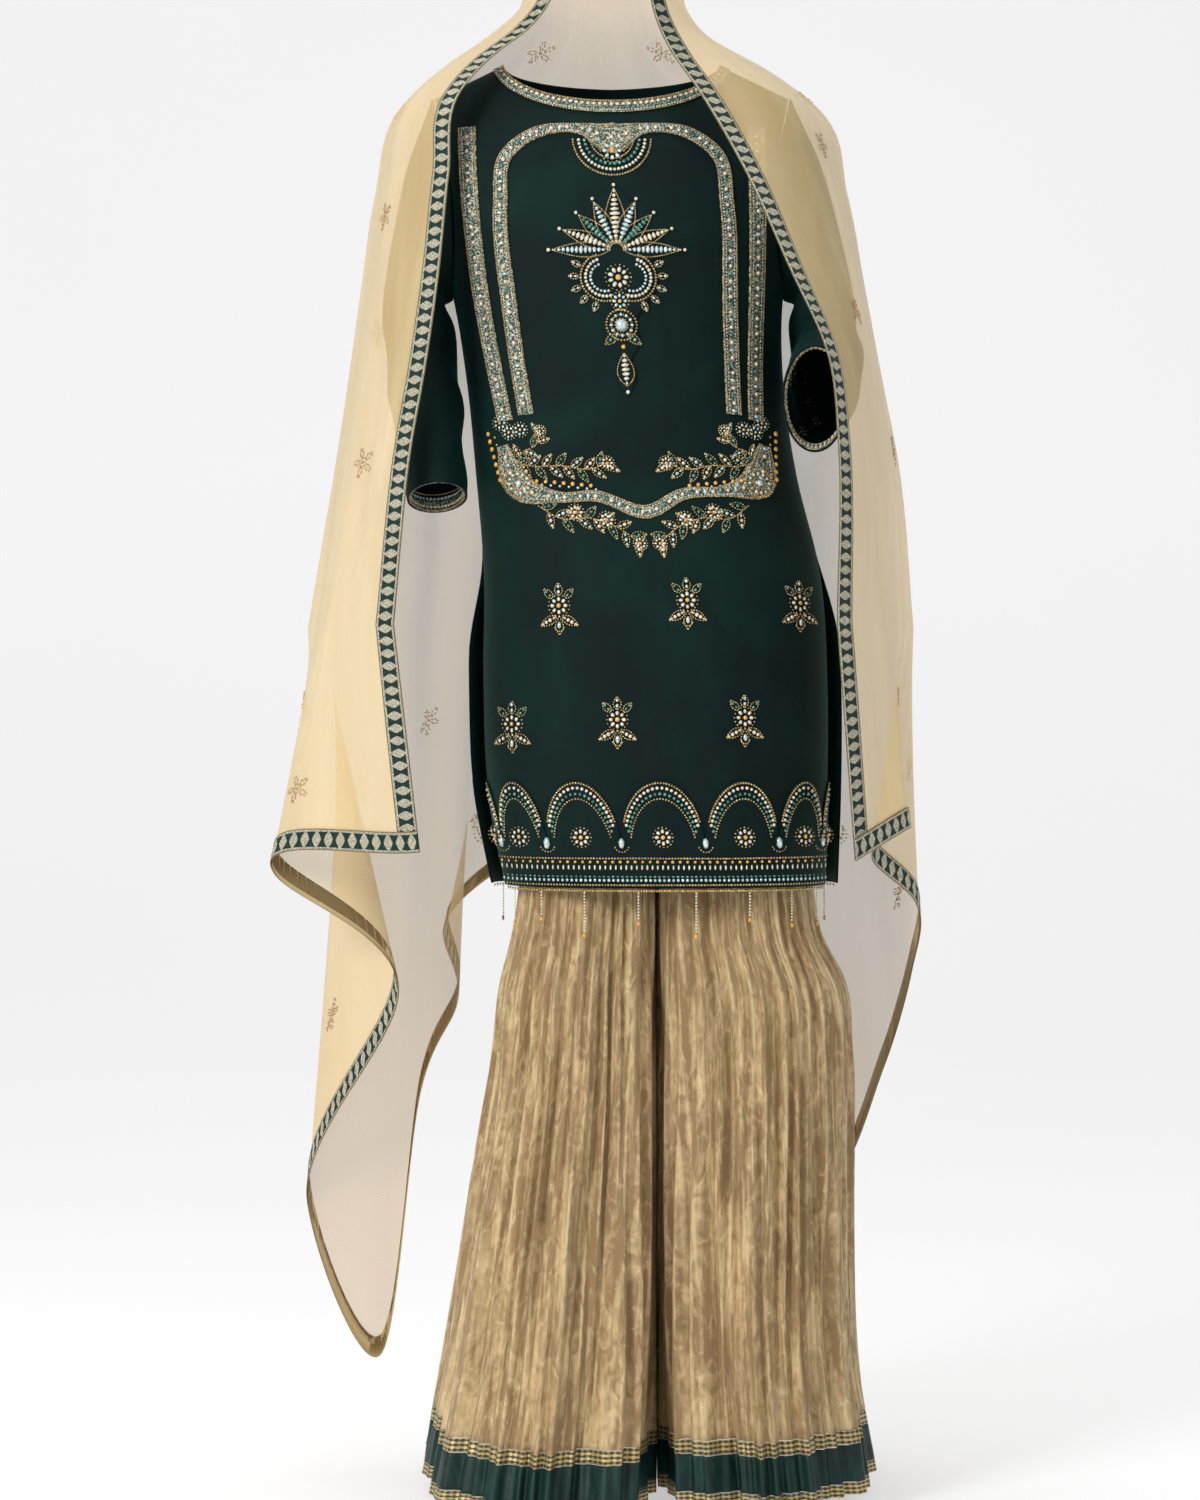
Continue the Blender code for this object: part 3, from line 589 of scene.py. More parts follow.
def metre_uvs(grid: np.ndarray, wrap: bool = False) -> np.ndarray:
    """UVs in metres: U along the middle row's columns, V down the rows."""
    rows, columns = grid.shape[:2]
    middle = grid[rows // 2]
    if wrap:
        middle = np.vstack([middle, middle[:1]])
    return np.stack(np.meshgrid(run_lengths(middle), -run_lengths(grid[:, columns // 2])), axis=-1)


def strip_uvs(grid: np.ndarray, wrap: bool = False) -> np.ndarray:
    """UVs of a strip: U along its rows in metres, V from 0 to 1 across them."""
    edge = grid[0]
    if wrap:
        edge = np.vstack([edge, edge[:1]])
    return np.stack(np.meshgrid(run_lengths(edge), np.linspace(1, 0, len(grid))), axis=-1)


def thicken(obj: bpy.types.Object, depth: float) -> None:
    """Gives a surface a thin wall inwards and keeps only its mesh."""
    wall = obj.modifiers.new("wall", "SOLIDIFY")
    wall.thickness = depth
    wall.offset = -1
    bake(obj)


def bake(obj: bpy.types.Object) -> None:
    """Applies every modifier of a piece to its mesh."""
    graph = bpy.context.evaluated_depsgraph_get()
    mesh = bpy.data.meshes.new_from_object(obj.evaluated_get(graph), depsgraph=graph)
    obj.modifiers.clear()
    obj.data = mesh


def dress(obj: bpy.types.Object, material: bpy.types.Material, slot: str, *nodes: str) -> bpy.types.Object:
    """Gives a piece its finish and its body, and hides the nodes that it stands for."""
    obj.data.materials.clear()
    obj.data.materials.append(material)
    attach(obj, "root")
    if nodes:
        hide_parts(*nodes)
    LOG.info("%s: %d faces", obj.name, len(obj.data.polygons))
    return obj


@dataclass
class Creases:
    """Soft troughs and ridges laid on a surface: where each starts and ends, width and height.

    A crease fades out over 1 / fade_rate of its length at each end.
    """

    lines: Sequence[tuple[float, float, float, float, float, float]]
    fade_rate: float = 4.0

    def depth(self, across: np.ndarray, down: np.ndarray) -> np.ndarray:
        """Height of the creases at places on the piece.

        Args:
            across: place across the piece.
            down: place down the piece.

        Returns:
            The height, outwards, in metres.
        """
        total = np.zeros(np.shape(across))
        for x0, z0, x1, z1, width, height in self.lines:
            span = (x1 - x0) ** 2 + (z1 - z0) ** 2
            t = ((across - x0) * (x1 - x0) + (down - z0) * (z1 - z0)) / span
            fade = ease(t * self.fade_rate + 0.5) * ease((1 - t) * self.fade_rate + 0.5)
            t = np.clip(t, 0.0, 1.0)
            gap = (across - x0 - t * (x1 - x0)) ** 2 + (down - z0 - t * (z1 - z0)) ** 2
            total = total + height * fade * np.exp(-gap / width**2)
        return total


@dataclass
class KameezForm:
    """The tunic's shape: the same sizes as its solids, with creases on top."""

    neck_half_width: float = 0.112
    neck_side_z: float = 0.030
    neck_drop: dict[Side, float] = field(default_factory=lambda: {Side.FRONT: 0.049, Side.BACK: 0.014})
    shoulder_slope: float = 0.48
    roll_z: float = -0.13
    oval_power: float = 2.3
    underarm_z: float = -0.215
    slit_z: float = -0.47
    slit_ease: float = 0.12
    slit_spread: float = 0.008
    hem_z: float = -0.828
    back_flare: float = 0.016
    seam_gap: float = 0.0005
    shoulder_gap: float = 0.0004
    crowding: float = 1.5
    crease_edge_rate: float = 6.0
    slope_step: float = 0.002
    sections: Table = field(
        default_factory=lambda: Table(
            "z centre_x half_width half_depth inset",
            (
                (0.060, -0.030, 0.215, 0.080, 0.030),
                (-0.005, -0.030, 0.215, 0.088, 0.030),
                (-0.060, -0.030, 0.212, 0.105, 0.038),
                (-0.120, -0.028, 0.202, 0.120, 0.036),
                (-0.180, -0.025, 0.180, 0.128, 0.012),
                (-0.215, -0.023, 0.173, 0.129, 0.000),
                (-0.300, -0.016, 0.166, 0.124, 0.000),
                (-0.400, -0.004, 0.168, 0.124, 0.000),
                (-0.500, 0.012, 0.176, 0.131, 0.000),
                (-0.620, 0.016, 0.180, 0.138, 0.000),
                (-0.720, 0.018, 0.178, 0.142, 0.000),
                (-0.840, 0.027, 0.165, 0.146, 0.000),
            ),
        )
    )
    creases: Creases = field(
        default_factory=lambda: Creases(
            (
                (-0.150, -0.500, -0.060, -0.560, 0.014, 0.0022),
                (0.150, -0.480, 0.050, -0.570, 0.016, 0.0024),
                (-0.040, -0.470, 0.060, -0.500, 0.012, -0.0018),
                (-0.100, -0.560, -0.105, -0.760, 0.020, 0.0030),
                (-0.020, -0.580, -0.030, -0.790, 0.024, -0.0026),
                (0.060, -0.570, 0.070, -0.800, 0.022, 0.0030),
                (0.130, -0.560, 0.135, -0.780, 0.018, -0.0028),
                (-0.090, -0.330, 0.020, -0.390, 0.012, 0.0016),
                (0.100, -0.300, 0.020, -0.370, 0.012, 0.0018),
                (-0.080, -0.240, -0.030, -0.330, 0.010, -0.0012),
            )
        )
    )

    def shoulder_z(self, x: Numbers) -> Numbers:
        """Height of the shoulder slope at a distance from the centre line."""
        return self.neck_side_z - self.shoulder_slope * (abs(x) - self.neck_half_width)

    def top(self, side: Side, x: Numbers) -> Numbers:
        """Upper edge of a panel: neckline, then shoulder seam."""
        share = np.clip(abs(x) / self.neck_half_width, 0, 1)
        neck = self.neck_side_z - self.neck_drop[side] * np.sqrt(1 - share**2)
        return np.where(abs(x) >= self.neck_half_width, self.shoulder_z(x), neck)

    def spread(self, z: Numbers) -> Numbers:
        """How far the side slit has opened at a height, 0 to 1."""
        return ease((self.slit_z - z) / self.slit_ease)

    def half(self, side: Side, z: Numbers) -> Numbers:
        """Half the width of a panel at a height."""
        inset = np.where(z > self.underarm_z, np.maximum(self.sections.at("inset", z), 0.0), 0.0)
        flare = self.back_flare * self.spread(z) if side is Side.BACK else 0.0
        return self.sections.at("half_width", z) - inset + flare

    def points(self, side: Side, x: Numbers, z: Numbers) -> np.ndarray:
        """Points of the outer face.

        Args:
            side: the panel.
            x: distances from the panel's centre line.
            z: heights.

        Returns:
            The points, three numbers in the last direction.
        """
        x, z = np.broadcast_arrays(np.asarray(x, float), np.asarray(z, float))
        flare = self.back_flare * self.spread(z) if side is Side.BACK else 0.0
        share = np.minimum(abs(x) / (self.sections.at("half_width", z) + flare), 1.0)
        power = self.oval_power
        depth = self.sections.at("half_depth", z) * (1 - share**power) ** (1 / power)
        climb = np.clip((z - self.roll_z) / (self.shoulder_z(x) - self.roll_z), 0.0, 1.0)
        gap = self.seam_gap + self.slit_spread * self.spread(z) + self.shoulder_gap * climb
        creases = self.creases.depth(x * -side.value, z) * ease((1 - share) * self.crease_edge_rate)
        y = side.value * (depth * np.sqrt(1 - climb**2) + creases + gap)
        return np.stack([self.sections.at("centre_x", z) + x, y, z], axis=-1)

    def normals(self, side: Side, x: Numbers, z: Numbers) -> np.ndarray:
        """Unit directions out of the tunic at places on a panel."""
        step = self.slope_step
        across = self.points(side, x + step, z) - self.points(side, x - step, z)
        up = self.points(side, x, z + step) - self.points(side, x, z - step)
        normals = np.cross(across, up) * -side.value
        return normals / np.linalg.norm(normals, axis=-1, keepdims=True)

    def panel(self, side: Side, columns: int, rows: int) -> np.ndarray:
        """A panel's outer face as a grid."""
        turns = np.linspace(-pi / 2, pi / 2, columns + 1) * -side.value
        top = self.top(side, self.half(side, 0.0) * np.sin(turns))
        shares = (np.arange(rows + 1)[:, None] / rows) ** self.crowding
        z = top + (self.hem_z - top) * shares
        return self.points(side, self.half(side, z) * np.sin(turns), z)


@dataclass
class SleeveForm:
    """A sleeve's rings, from the armhole to the cuff.

    A ring is a centre's X, Y and Z and its half widths, away from the body and from back to front.
    A fold is a height, waves round the arm, waves down the arm, a shift, and where it is strongest
    and over what share of the arm.
    """

    sides: int = 48
    steps: int = 44
    hole_top_z: float = -0.02
    hole_levels: int = 14
    hole_gap: float = 0.0016
    halfway_share: float = 0.45
    halfway_out: float = 0.010
    halfway_lift: float = 0.004
    folds: Sequence[tuple[float, float, float, float, float, float]] = (
        (0.0022, 2, 19, 0.0, 0.62, 0.26),
        (0.0016, 3, -31, 1.3, 0.45, 0.30),
    )
    fade_in: float = 8.0
    fade_out: float = 9.0
    least_fold: float = 0.15
    rings: dict[Hand, Sequence[tuple[float, float, float, float, float]]] = field(
        default_factory=lambda: {
            Hand.LEFT: (
                (-0.232, -0.006, -0.240, 0.036, 0.057),
                (-0.226, -0.018, -0.305, 0.035, 0.055),
                (-0.219, -0.030, -0.360, 0.033, 0.054),
                (-0.213, -0.040, -0.405, 0.031, 0.052),
                (-0.211, -0.045, -0.426, 0.030, 0.052),
            ),
            Hand.RIGHT: (
                (0.190, -0.006, -0.232, 0.034, 0.057),
                (0.194, -0.038, -0.282, 0.034, 0.056),
                (0.188, -0.082, -0.310, 0.034, 0.055),
                (0.179, -0.120, -0.326, 0.033, 0.054),
                (0.176, -0.140, -0.332, 0.032, 0.054),
            ),
        }
    )

    def armhole(self, hand: Hand, form: KameezForm) -> np.ndarray:
        """The armhole's edge, spread evenly: shoulder tip, front, underarm, back."""
        levels = np.linspace(self.hole_top_z, form.underarm_z, self.hole_levels)
        front, back = (form.points(side, hand.value * form.half(side, levels), levels) for side in Side)
        tip_x = hand.value * form.half(Side.FRONT, 0.0)
        tip = form.points(Side.FRONT, tip_x, form.shoulder_z(tip_x)) * (1, 0, 1)
        points = np.vstack([tip, front[:-1], front[-1] * (1, 0, 1), back[-2::-1], tip])
        steps = run_lengths(points)
        at = steps[-1] * np.arange(self.sides) / self.sides
        return np.stack([np.interp(at, steps, points[:, axis]) for axis in range(3)], axis=1)

    def grid(self, hand: Hand, form: KameezForm) -> np.ndarray:
        """The sleeve's outer face, rings running down and points round it as seen from outside."""
        start = self.armhole(hand, form) + np.array((hand.value * self.hole_gap, 0, 0))
        hole = start.mean(axis=0)
        path = [np.array(ring[:3]) for ring in self.rings[hand]]
        rings = [start]
        for i, (_, _, _, across, along) in enumerate(self.rings[hand]):
            ahead = Vector(path[min(i + 1, len(path) - 1)] - (path[i - 1] if i else hole)).normalized()
            outer = Vector((hand.value, 0, 0))
            outer = (outer - outer.dot(ahead) * ahead).normalized()
            front = ahead.cross(outer) * hand.value
            turns = tau * np.arange(self.sides) / self.sides
            ring = np.outer(np.cos(turns), outer) * across + np.outer(np.sin(turns), front) * along
            rings.append(path[i] + ring)
        bulge = np.array((hand.value * self.halfway_out, 0, self.halfway_lift))
        rings.insert(1, between(start, rings[1], self.halfway_share) + bulge)
        stack = np.array(rings)
        keys = np.linspace(0, 1, len(stack))
        fine = curve_value(keys, stack, np.linspace(0, 1, self.steps + 1))
        return self.creased(fine, hand)

    def creased(self, grid: np.ndarray, hand: Hand) -> np.ndarray:
        """The sleeve with slanting folds, strongest at the elbow."""
        normals = grid_normals(grid, wrap=True)
        if hand is Hand.LEFT:
            normals = -normals
        rows, columns = grid.shape[:2]
        down = np.linspace(0, 1, rows)[:, None]
        turn = tau * np.arange(columns)[None, :] / columns
        folds = 0
        for height, waves_round, waves_down, shift, middle, width in self.folds:
            wave = np.sin(turn * waves_round + down * waves_down + shift)
            folds = folds + height * wave * np.exp(-(((down - middle) / width) ** 2))
        fade = np.clip(down * self.fade_in, 0, 1) * np.clip((1 - down) * self.fade_out, self.least_fold, 1)
        moved = grid + normals * (folds * fade)[..., None]
        return moved[:, ::-1] if hand is Hand.LEFT else moved


@dataclass
class LegForm:
    """One leg's shape: flat-sided where the legs meet, with uneven folds that grow towards the hem.

    Over the broad folds lie fine gathers: a wave, bent by gather_bend and gather_drift, and a
    finer one beside it. The front of the hem dips.
    """

    division_x: float = 0.016
    clearance: float = 0.0008
    inner_power: float = 7.0
    outer_power: float = 2.3
    fold_share: float = 0.032
    crotch_z: float = -0.6606
    hem_z: float = -1.432
    upper_lace: float = 0.014
    satin: float = 0.036
    lower_lace: float = 0.012
    folds: Sequence[tuple[float, float]] = (
        (0.03, 0.8), (0.11, 1.0), (0.19, 0.6), (0.26, 1.1), (0.35, 0.8), (0.43, 1.0),
        (0.52, 0.7), (0.60, 1.0), (0.69, 0.8), (0.77, 1.1), (0.86, 0.7), (0.94, 0.9),
    )
    sizes: dict[Hand, Table] = field(
        default_factory=lambda: {
            Hand.LEFT: Table(
                "z inner outer front back fold",
                (
                    (-0.660, 0.012, -0.136, -0.110, 0.110, 0.000),
                    (-0.760, 0.012, -0.126, -0.110, 0.110, 0.002),
                    (-0.835, 0.013, -0.124, -0.112, 0.112, 0.003),
                    (-0.880, 0.013, -0.130, -0.124, 0.124, 0.005),
                    (-0.930, 0.013, -0.141, -0.142, 0.140, 0.008),
                    (-1.000, 0.013, -0.148, -0.158, 0.155, 0.009),
                    (-1.150, 0.012, -0.172, -0.192, 0.176, 0.013),
                    (-1.300, 0.010, -0.196, -0.228, 0.198, 0.017),
                    (-1.432, 0.006, -0.222, -0.262, 0.215, 0.021),
                ),
            ),
            Hand.RIGHT: Table(
                "z inner outer front back fold",
                (
                    (-0.660, 0.020, 0.170, -0.110, 0.110, 0.000),
                    (-0.760, 0.020, 0.174, -0.110, 0.110, 0.002),
                    (-0.835, 0.020, 0.178, -0.112, 0.112, 0.003),
                    (-0.880, 0.020, 0.186, -0.120, 0.122, 0.005),
                    (-0.930, 0.020, 0.209, -0.138, 0.140, 0.008),
                    (-1.000, 0.020, 0.215, -0.152, 0.155, 0.009),
                    (-1.150, 0.020, 0.216, -0.174, 0.176, 0.013),
                    (-1.300, 0.021, 0.219, -0.202, 0.198, 0.017),
                    (-1.432, 0.024, 0.238, -0.230, 0.215, 0.021),
                ),
            ),
        }
    )
    gathers: int = 34
    gather_depth: float = 0.0042
    gather_fine: tuple[float, float] = (1.7, 0.6)
    gather_bend: tuple[float, float, float] = (2.2, 7.0, 40.0)
    gather_drift: tuple[float, float] = (0.35, 9.0)
    gather_slant: tuple[float, float] = (5.0, 1.1)
    gather_top: tuple[float, float] = (-0.75, 0.10)
    gather_least: float = 0.55
    low_part: tuple[float, float] = (-0.80, 0.35)
    fold_growth: float = 1.35
    fold_mean: float = 0.6
    inner_flatness: float = 0.75
    dip: float = 0.010
    dip_share: dict[Hand, float] = field(default_factory=lambda: {Hand.LEFT: 1.0, Hand.RIGHT: 0.5})
    dip_part: tuple[float, float] = (-1.20, 0.20)

    def wave(self, turn: np.ndarray) -> np.ndarray:
        """Crests round the leg."""
        total = np.zeros_like(turn)
        for crest, strength in self.folds:
            away = (turn - crest + 0.5) % 1.0 - 0.5
            total += strength * np.exp(-((away / self.fold_share) ** 2))
        return total

    def share_below(self, part: tuple[float, float], z: float) -> float:
        """0 at a part's top and 1 below it; a part is the height of its top and its own height."""
        top, height = part
        return ease((top - z) / height)

    def ring(self, hand: Hand, turn: np.ndarray, z: float) -> np.ndarray:
        """Points of the outer face at one height.

        Args:
            hand: which leg.
            turn: shares of a turn, from the outer side over the front.
            z: the height.

        Returns:
            Points by 3.
        """
        size = self.sizes[hand].row_at(z)
        centre = (size["inner"] + size["outer"]) / 2
        half = abs(size["outer"] - size["inner"]) / 2
        angle = tau * turn
        depth = np.where(np.sin(angle) > 0, -size["front"], size["back"])
        power = np.where(np.cos(angle) > 0, self.outer_power, self.inner_power)
        scale = (abs(np.cos(angle)) ** power + abs(np.sin(angle)) ** power) ** (-1 / power)
        low = self.share_below(self.low_part, z)
        outer_part = 1 - self.inner_flatness * np.maximum(0, -np.cos(angle)) ** 2
        swell = size["fold"] * self.fold_growth * (self.wave(turn) - self.fold_mean) * outer_part
        drift, drift_rate = self.gather_drift
        bend, bend_rate, bend_turn = self.gather_bend
        slant, shift = self.gather_slant
        growth, weight = self.gather_fine
        phase = bend * np.sin(z * bend_rate + turn * bend_turn) + drift * np.sin(z * drift_rate + hand.value)
        fine = np.sin(tau * self.gathers * turn + phase)
        fine += weight * np.sin(tau * self.gathers * growth * turn + slant * z + shift)
        strength = between(self.gather_least, 1.0, low) * self.share_below(self.gather_top, z)
        swell = swell + self.gather_depth * fine * strength
        x = centre + hand.value * (half + swell) * np.cos(angle) * scale
        y = -(depth + swell) * np.sin(angle) * scale
        edge = self.division_x + hand.value * self.clearance / 2
        x = np.maximum(x, edge) if hand is Hand.RIGHT else np.minimum(x, edge)
        dip = self.dip * self.dip_share[hand] * low * np.maximum(np.sin(angle), 0)
        return np.stack([x, y, z - dip * self.share_below(self.dip_part, z)], axis=1)

    def tube(self, hand: Hand, levels: Sequence[float], columns: int) -> np.ndarray:
        """A run of the leg between heights."""
        turn = np.arange(columns) / columns
        grid = np.array([self.ring(hand, turn, z) for z in levels])
        return grid if hand is Hand.LEFT else grid[:, ::-1]

    def edges(self) -> tuple[float, float, float, float]:
        """Heights of the three bands' edges, from the top lace down to the hem."""
        low = self.hem_z + self.lower_lace
        return low + self.satin + self.upper_lace, low + self.satin, low, self.hem_z


@dataclass
class DupattaForm:
    """The veil's shape: level sections open in front, then a fall with folded ends."""

    fall_z: float = -0.560
    border: float = 0.022
    middle_s: float = 0.89
    side_s: float = 0.78
    quarter_s: float = 0.40
    middle_x_share: float = 0.66
    middle_y_share: float = 0.36
    quarter_x_share: float = 0.68
    quarter_y_share: float = 0.80
    reach_step: float = 0.02
    ripples: int = 8
    ripple_depth: float = 0.006
    ripple_top: float = -0.1
    ripple_growth: float = 0.4
    ripple_calm_power: int = 4
    sections: Table = field(
        default_factory=lambda: Table(
            "z left_edge_x left_edge_y left_side_x right_edge_x right_edge_y right_side_x side_y"
            " back_x back_y",
            (
                (0.335, -0.040, -0.050, -0.040, -0.040, -0.050, -0.040, -0.010, -0.040, 0.060),
                (0.318, -0.090, -0.074, -0.096, 0.010, -0.074, 0.016, 0.000, -0.040, 0.090),
                (0.275, -0.116, -0.090, -0.132, 0.036, -0.090, 0.052, 0.005, -0.040, 0.112),
                (0.205, -0.124, -0.092, -0.146, 0.044, -0.092, 0.066, 0.010, -0.040, 0.120),
                (0.140, -0.102, -0.082, -0.130, 0.022, -0.082, 0.050, 0.012, -0.040, 0.108),
                (0.095, -0.090, -0.070, -0.126, 0.010, -0.070, 0.048, 0.016, -0.040, 0.098),
                (0.060, -0.114, -0.060, -0.166, 0.018, -0.072, 0.078, 0.018, -0.038, 0.104),
                (0.032, -0.150, -0.062, -0.206, 0.030, -0.086, 0.128, 0.014, -0.036, 0.114),
                (-0.010, -0.184, -0.088, -0.250, 0.056, -0.108, 0.182, 0.008, -0.032, 0.132),
                (-0.100, -0.196, -0.114, -0.276, 0.104, -0.146, 0.214, 0.004, -0.026, 0.152),
                (-0.200, -0.206, -0.118, -0.290, 0.146, -0.182, 0.234, 0.000, -0.018, 0.160),
                (-0.300, -0.220, -0.120, -0.302, 0.186, -0.214, 0.252, -0.010, -0.010, 0.166),
                (-0.380, -0.234, -0.122, -0.313, 0.195, -0.210, 0.266, -0.014, -0.002, 0.172),
                (-0.560, -0.252, -0.124, -0.342, 0.196, -0.180, 0.281, -0.014, 0.004, 0.184),
            ),
        )
    )
    fall: Table = field(
        default_factory=lambda: Table(
            "s x y z",
            (
                (-1.00, -0.225, -0.130, -0.792),
                (-0.80, -0.377, -0.070, -0.816),
                (-0.68, -0.252, -0.012, -0.935),
                (-0.56, -0.352, 0.046, -1.165),
                (-0.47, -0.276, 0.090, -1.336),
                (-0.39, -0.236, 0.118, -1.060),
                (-0.31, -0.196, 0.152, -0.960),
                (-0.22, -0.212, 0.196, -0.880),
                (-0.11, -0.120, 0.210, -0.800),
                (0.00, 0.010, 0.206, -0.740),
                (0.13, 0.110, 0.200, -0.790),
                (0.26, 0.176, 0.176, -0.930),
                (0.39, 0.216, 0.136, -1.140),
                (0.50, 0.262, 0.096, -1.030),
                (0.61, 0.288, 0.052, -0.925),
                (0.72, 0.290, 0.006, -0.850),
                (0.81, 0.240, -0.036, -0.800),
                (0.90, 0.276, -0.086, -0.768),
                (1.00, 0.216, -0.150, -0.800),
            ),
        )
    )

    def cape(self, s: np.ndarray, z: float) -> np.ndarray:
        """The veil on a level section.

        Args:
            s: places from -1 at the left front edge over the back to 1.
            z: the section's height.

        Returns:
            Points by 3.
        """
        value = self.sections.row_at(z)
        xs, ys = [], []
        for hand in ("left", "right"):
            edge_x, edge_y, side_x = (value[hand + name] for name in ("_edge_x", "_edge_y", "_side_x"))
            half_x = [edge_x, between(edge_x, side_x, self.middle_x_share), side_x]
            half_x.append(between(value["back_x"], side_x, self.quarter_x_share))
            half_y = [edge_y, between(edge_y, value["side_y"], self.middle_y_share), value["side_y"]]
            half_y.append(between(value["side_y"], value["back_y"], self.quarter_y_share))
            xs.append(half_x)
            ys.append(half_y)
        half = [-1, -self.middle_s, -self.side_s, -self.quarter_s]
        keys = np.array(half + [0] + [-place for place in half[::-1]])
        x = np.array(xs[0] + [value["back_x"]] + xs[1][::-1])
        y = np.array(ys[0] + [value["back_y"]] + ys[1][::-1])
        return np.stack([curve_value(keys, x, s), curve_value(keys, y, s), np.full(np.shape(s), z)], axis=-1)

    def points(self, s: np.ndarray, level: Numbers) -> np.ndarray:
        """Points of one row.

        Args:
            s: places from -1 at the left front edge over the back to 1.
            level: 0 to 1 follows the sections, 1 to 2 the fall to the lower edge, one for each place.

        Returns:
            Points by 3.
        """
        s = np.asarray(s, float)
        if np.ndim(level) == 0 and level <= 1:
            heights = self.sections.rows[:, 0]
            z = float(curve_value(np.linspace(0, 1, len(heights)), heights, level))
            points = self.cape(s, z)
            depth = self.ripple_depth * ease((self.ripple_top - z) / self.ripple_growth)
        else:
            down = np.broadcast_to(np.asarray(level, float) - 1, s.shape)[..., None]
            end = np.stack([self.fall.at(axis, s) for axis in "xyz"], axis=-1)
            points = between(self.cape(s, self.fall_z), end, down)
            depth = self.ripple_depth * (1 - down)
        out = points * (1, 1, 0)
        out = out / np.linalg.norm(out, axis=-1, keepdims=True)
        ripple = (1 + np.cos(tau * self.ripples * s)) / 2 * (1 - abs(s) ** self.ripple_calm_power)
        return points + out * depth * ripple[..., None]

    def inner(self, end: int, level: float) -> float:
        """Where the front border ends and the cloth starts."""
        near, edge = self.points(np.array([end * (1 - self.reach_step), end]), level)
        return end * (1 - self.border * self.reach_step / np.linalg.norm(near - edge))

    def above_edge(self, s: np.ndarray, height: float) -> np.ndarray:
        """The levels at a distance above the lower edge."""
        return 2 - height / np.linalg.norm(self.points(s, 2.0) - self.points(s, 1.0), axis=-1)


@dataclass(frozen=True)
class Zari:
    """Ground of the embroidered bands: close gold and silver thread over dark green."""

    ground: Colour = (0.012, 0.050, 0.042)
    thread: Colour = (0.420, 0.330, 0.180)
    bright: Colour = (0.700, 0.640, 0.480)
    cell: float = 520.0

    def material(self) -> bpy.types.Material:
        """The ground's material."""
        shader = Shader("zari_ground")
        at = shader.place()
        knots = shader.out(shader.node("ShaderNodeTexVoronoi", Vector=at, Scale=self.cell), "Distance")
        tint = shader.noise(at, 240.0, 3.0)
        cover = ((0.62 - knots) * 4.0 + (tint - 0.5) * 2.6).clamped()
        gold = shader.mix(((tint - 0.38) * 4.0).clamped(), self.thread, self.bright)
        shader.set(
            Base_Color=shader.mix(cover, self.ground, gold),
            Roughness=0.42,
            Metallic=cover * 0.45,
        )
        shader.relief(cover * 0.5 - knots, 0.0010, 0.9)
        return shader.material


Frame = tuple[np.ndarray, np.ndarray, np.ndarray, np.ndarray]
Surface = Callable[[np.ndarray, np.ndarray], Frame]
STITCH_STEP = 0.001


def panel_surface(form: KameezForm, side: Side) -> Surface:
    """Places stitches on a body panel, x to the viewer's right of its centre line and z upwards."""

    def frame(x: np.ndarray, z: np.ndarray) -> Frame:
        """Points, normals, rightward and upward directions."""
        x = x * -side.value
        step = STITCH_STEP
        across = (form.points(side, x + step, z) - form.points(side, x - step, z)) * -side.value
        up = form.points(side, x, z + step) - form.points(side, x, z - step)
        across /= np.linalg.norm(across, axis=-1, keepdims=True)
        up /= np.linalg.norm(up, axis=-1, keepdims=True)
        return form.points(side, x, z), form.normals(side, x, z), across, up

    return frame


def grid_surface(grid: np.ndarray) -> Surface:
    """Places stitches on a grid: x metres to the right along its middle row, z up from its last row."""
    normals = grid_normals(grid)
    along = run_lengths(grid[grid.shape[0] // 2])
    down = run_lengths(grid[:, grid.shape[1] // 2])

    def look_up(values: np.ndarray, column: np.ndarray, row: np.ndarray) -> np.ndarray:
        """Values between the grid's points."""
        c = np.clip(column.astype(int), 0, grid.shape[1] - 2)
        r = np.clip(row.astype(int), 0, grid.shape[0] - 2)
        u, v = (column - c)[:, None], (row - r)[:, None]
        upper = values[r, c] * (1 - u) + values[r, c + 1] * u
        lower = values[r + 1, c] * (1 - u) + values[r + 1, c + 1] * u
        return upper * (1 - v) + lower * v

    right, below = np.gradient(grid, axis=1), np.gradient(grid, axis=0)

    def frame(x: np.ndarray, z: np.ndarray) -> Frame:
        """Points, normals, rightward and upward directions."""
        column = np.interp(x, along, np.arange(len(along)))
        row = np.interp(down[-1] - z, down, np.arange(len(down)))
        parts = [look_up(values, column, row) for values in (grid, normals, right, -below)]
        units = [part / np.linalg.norm(part, axis=1, keepdims=True) for part in parts[1:]]
        return parts[0], *units

    return frame


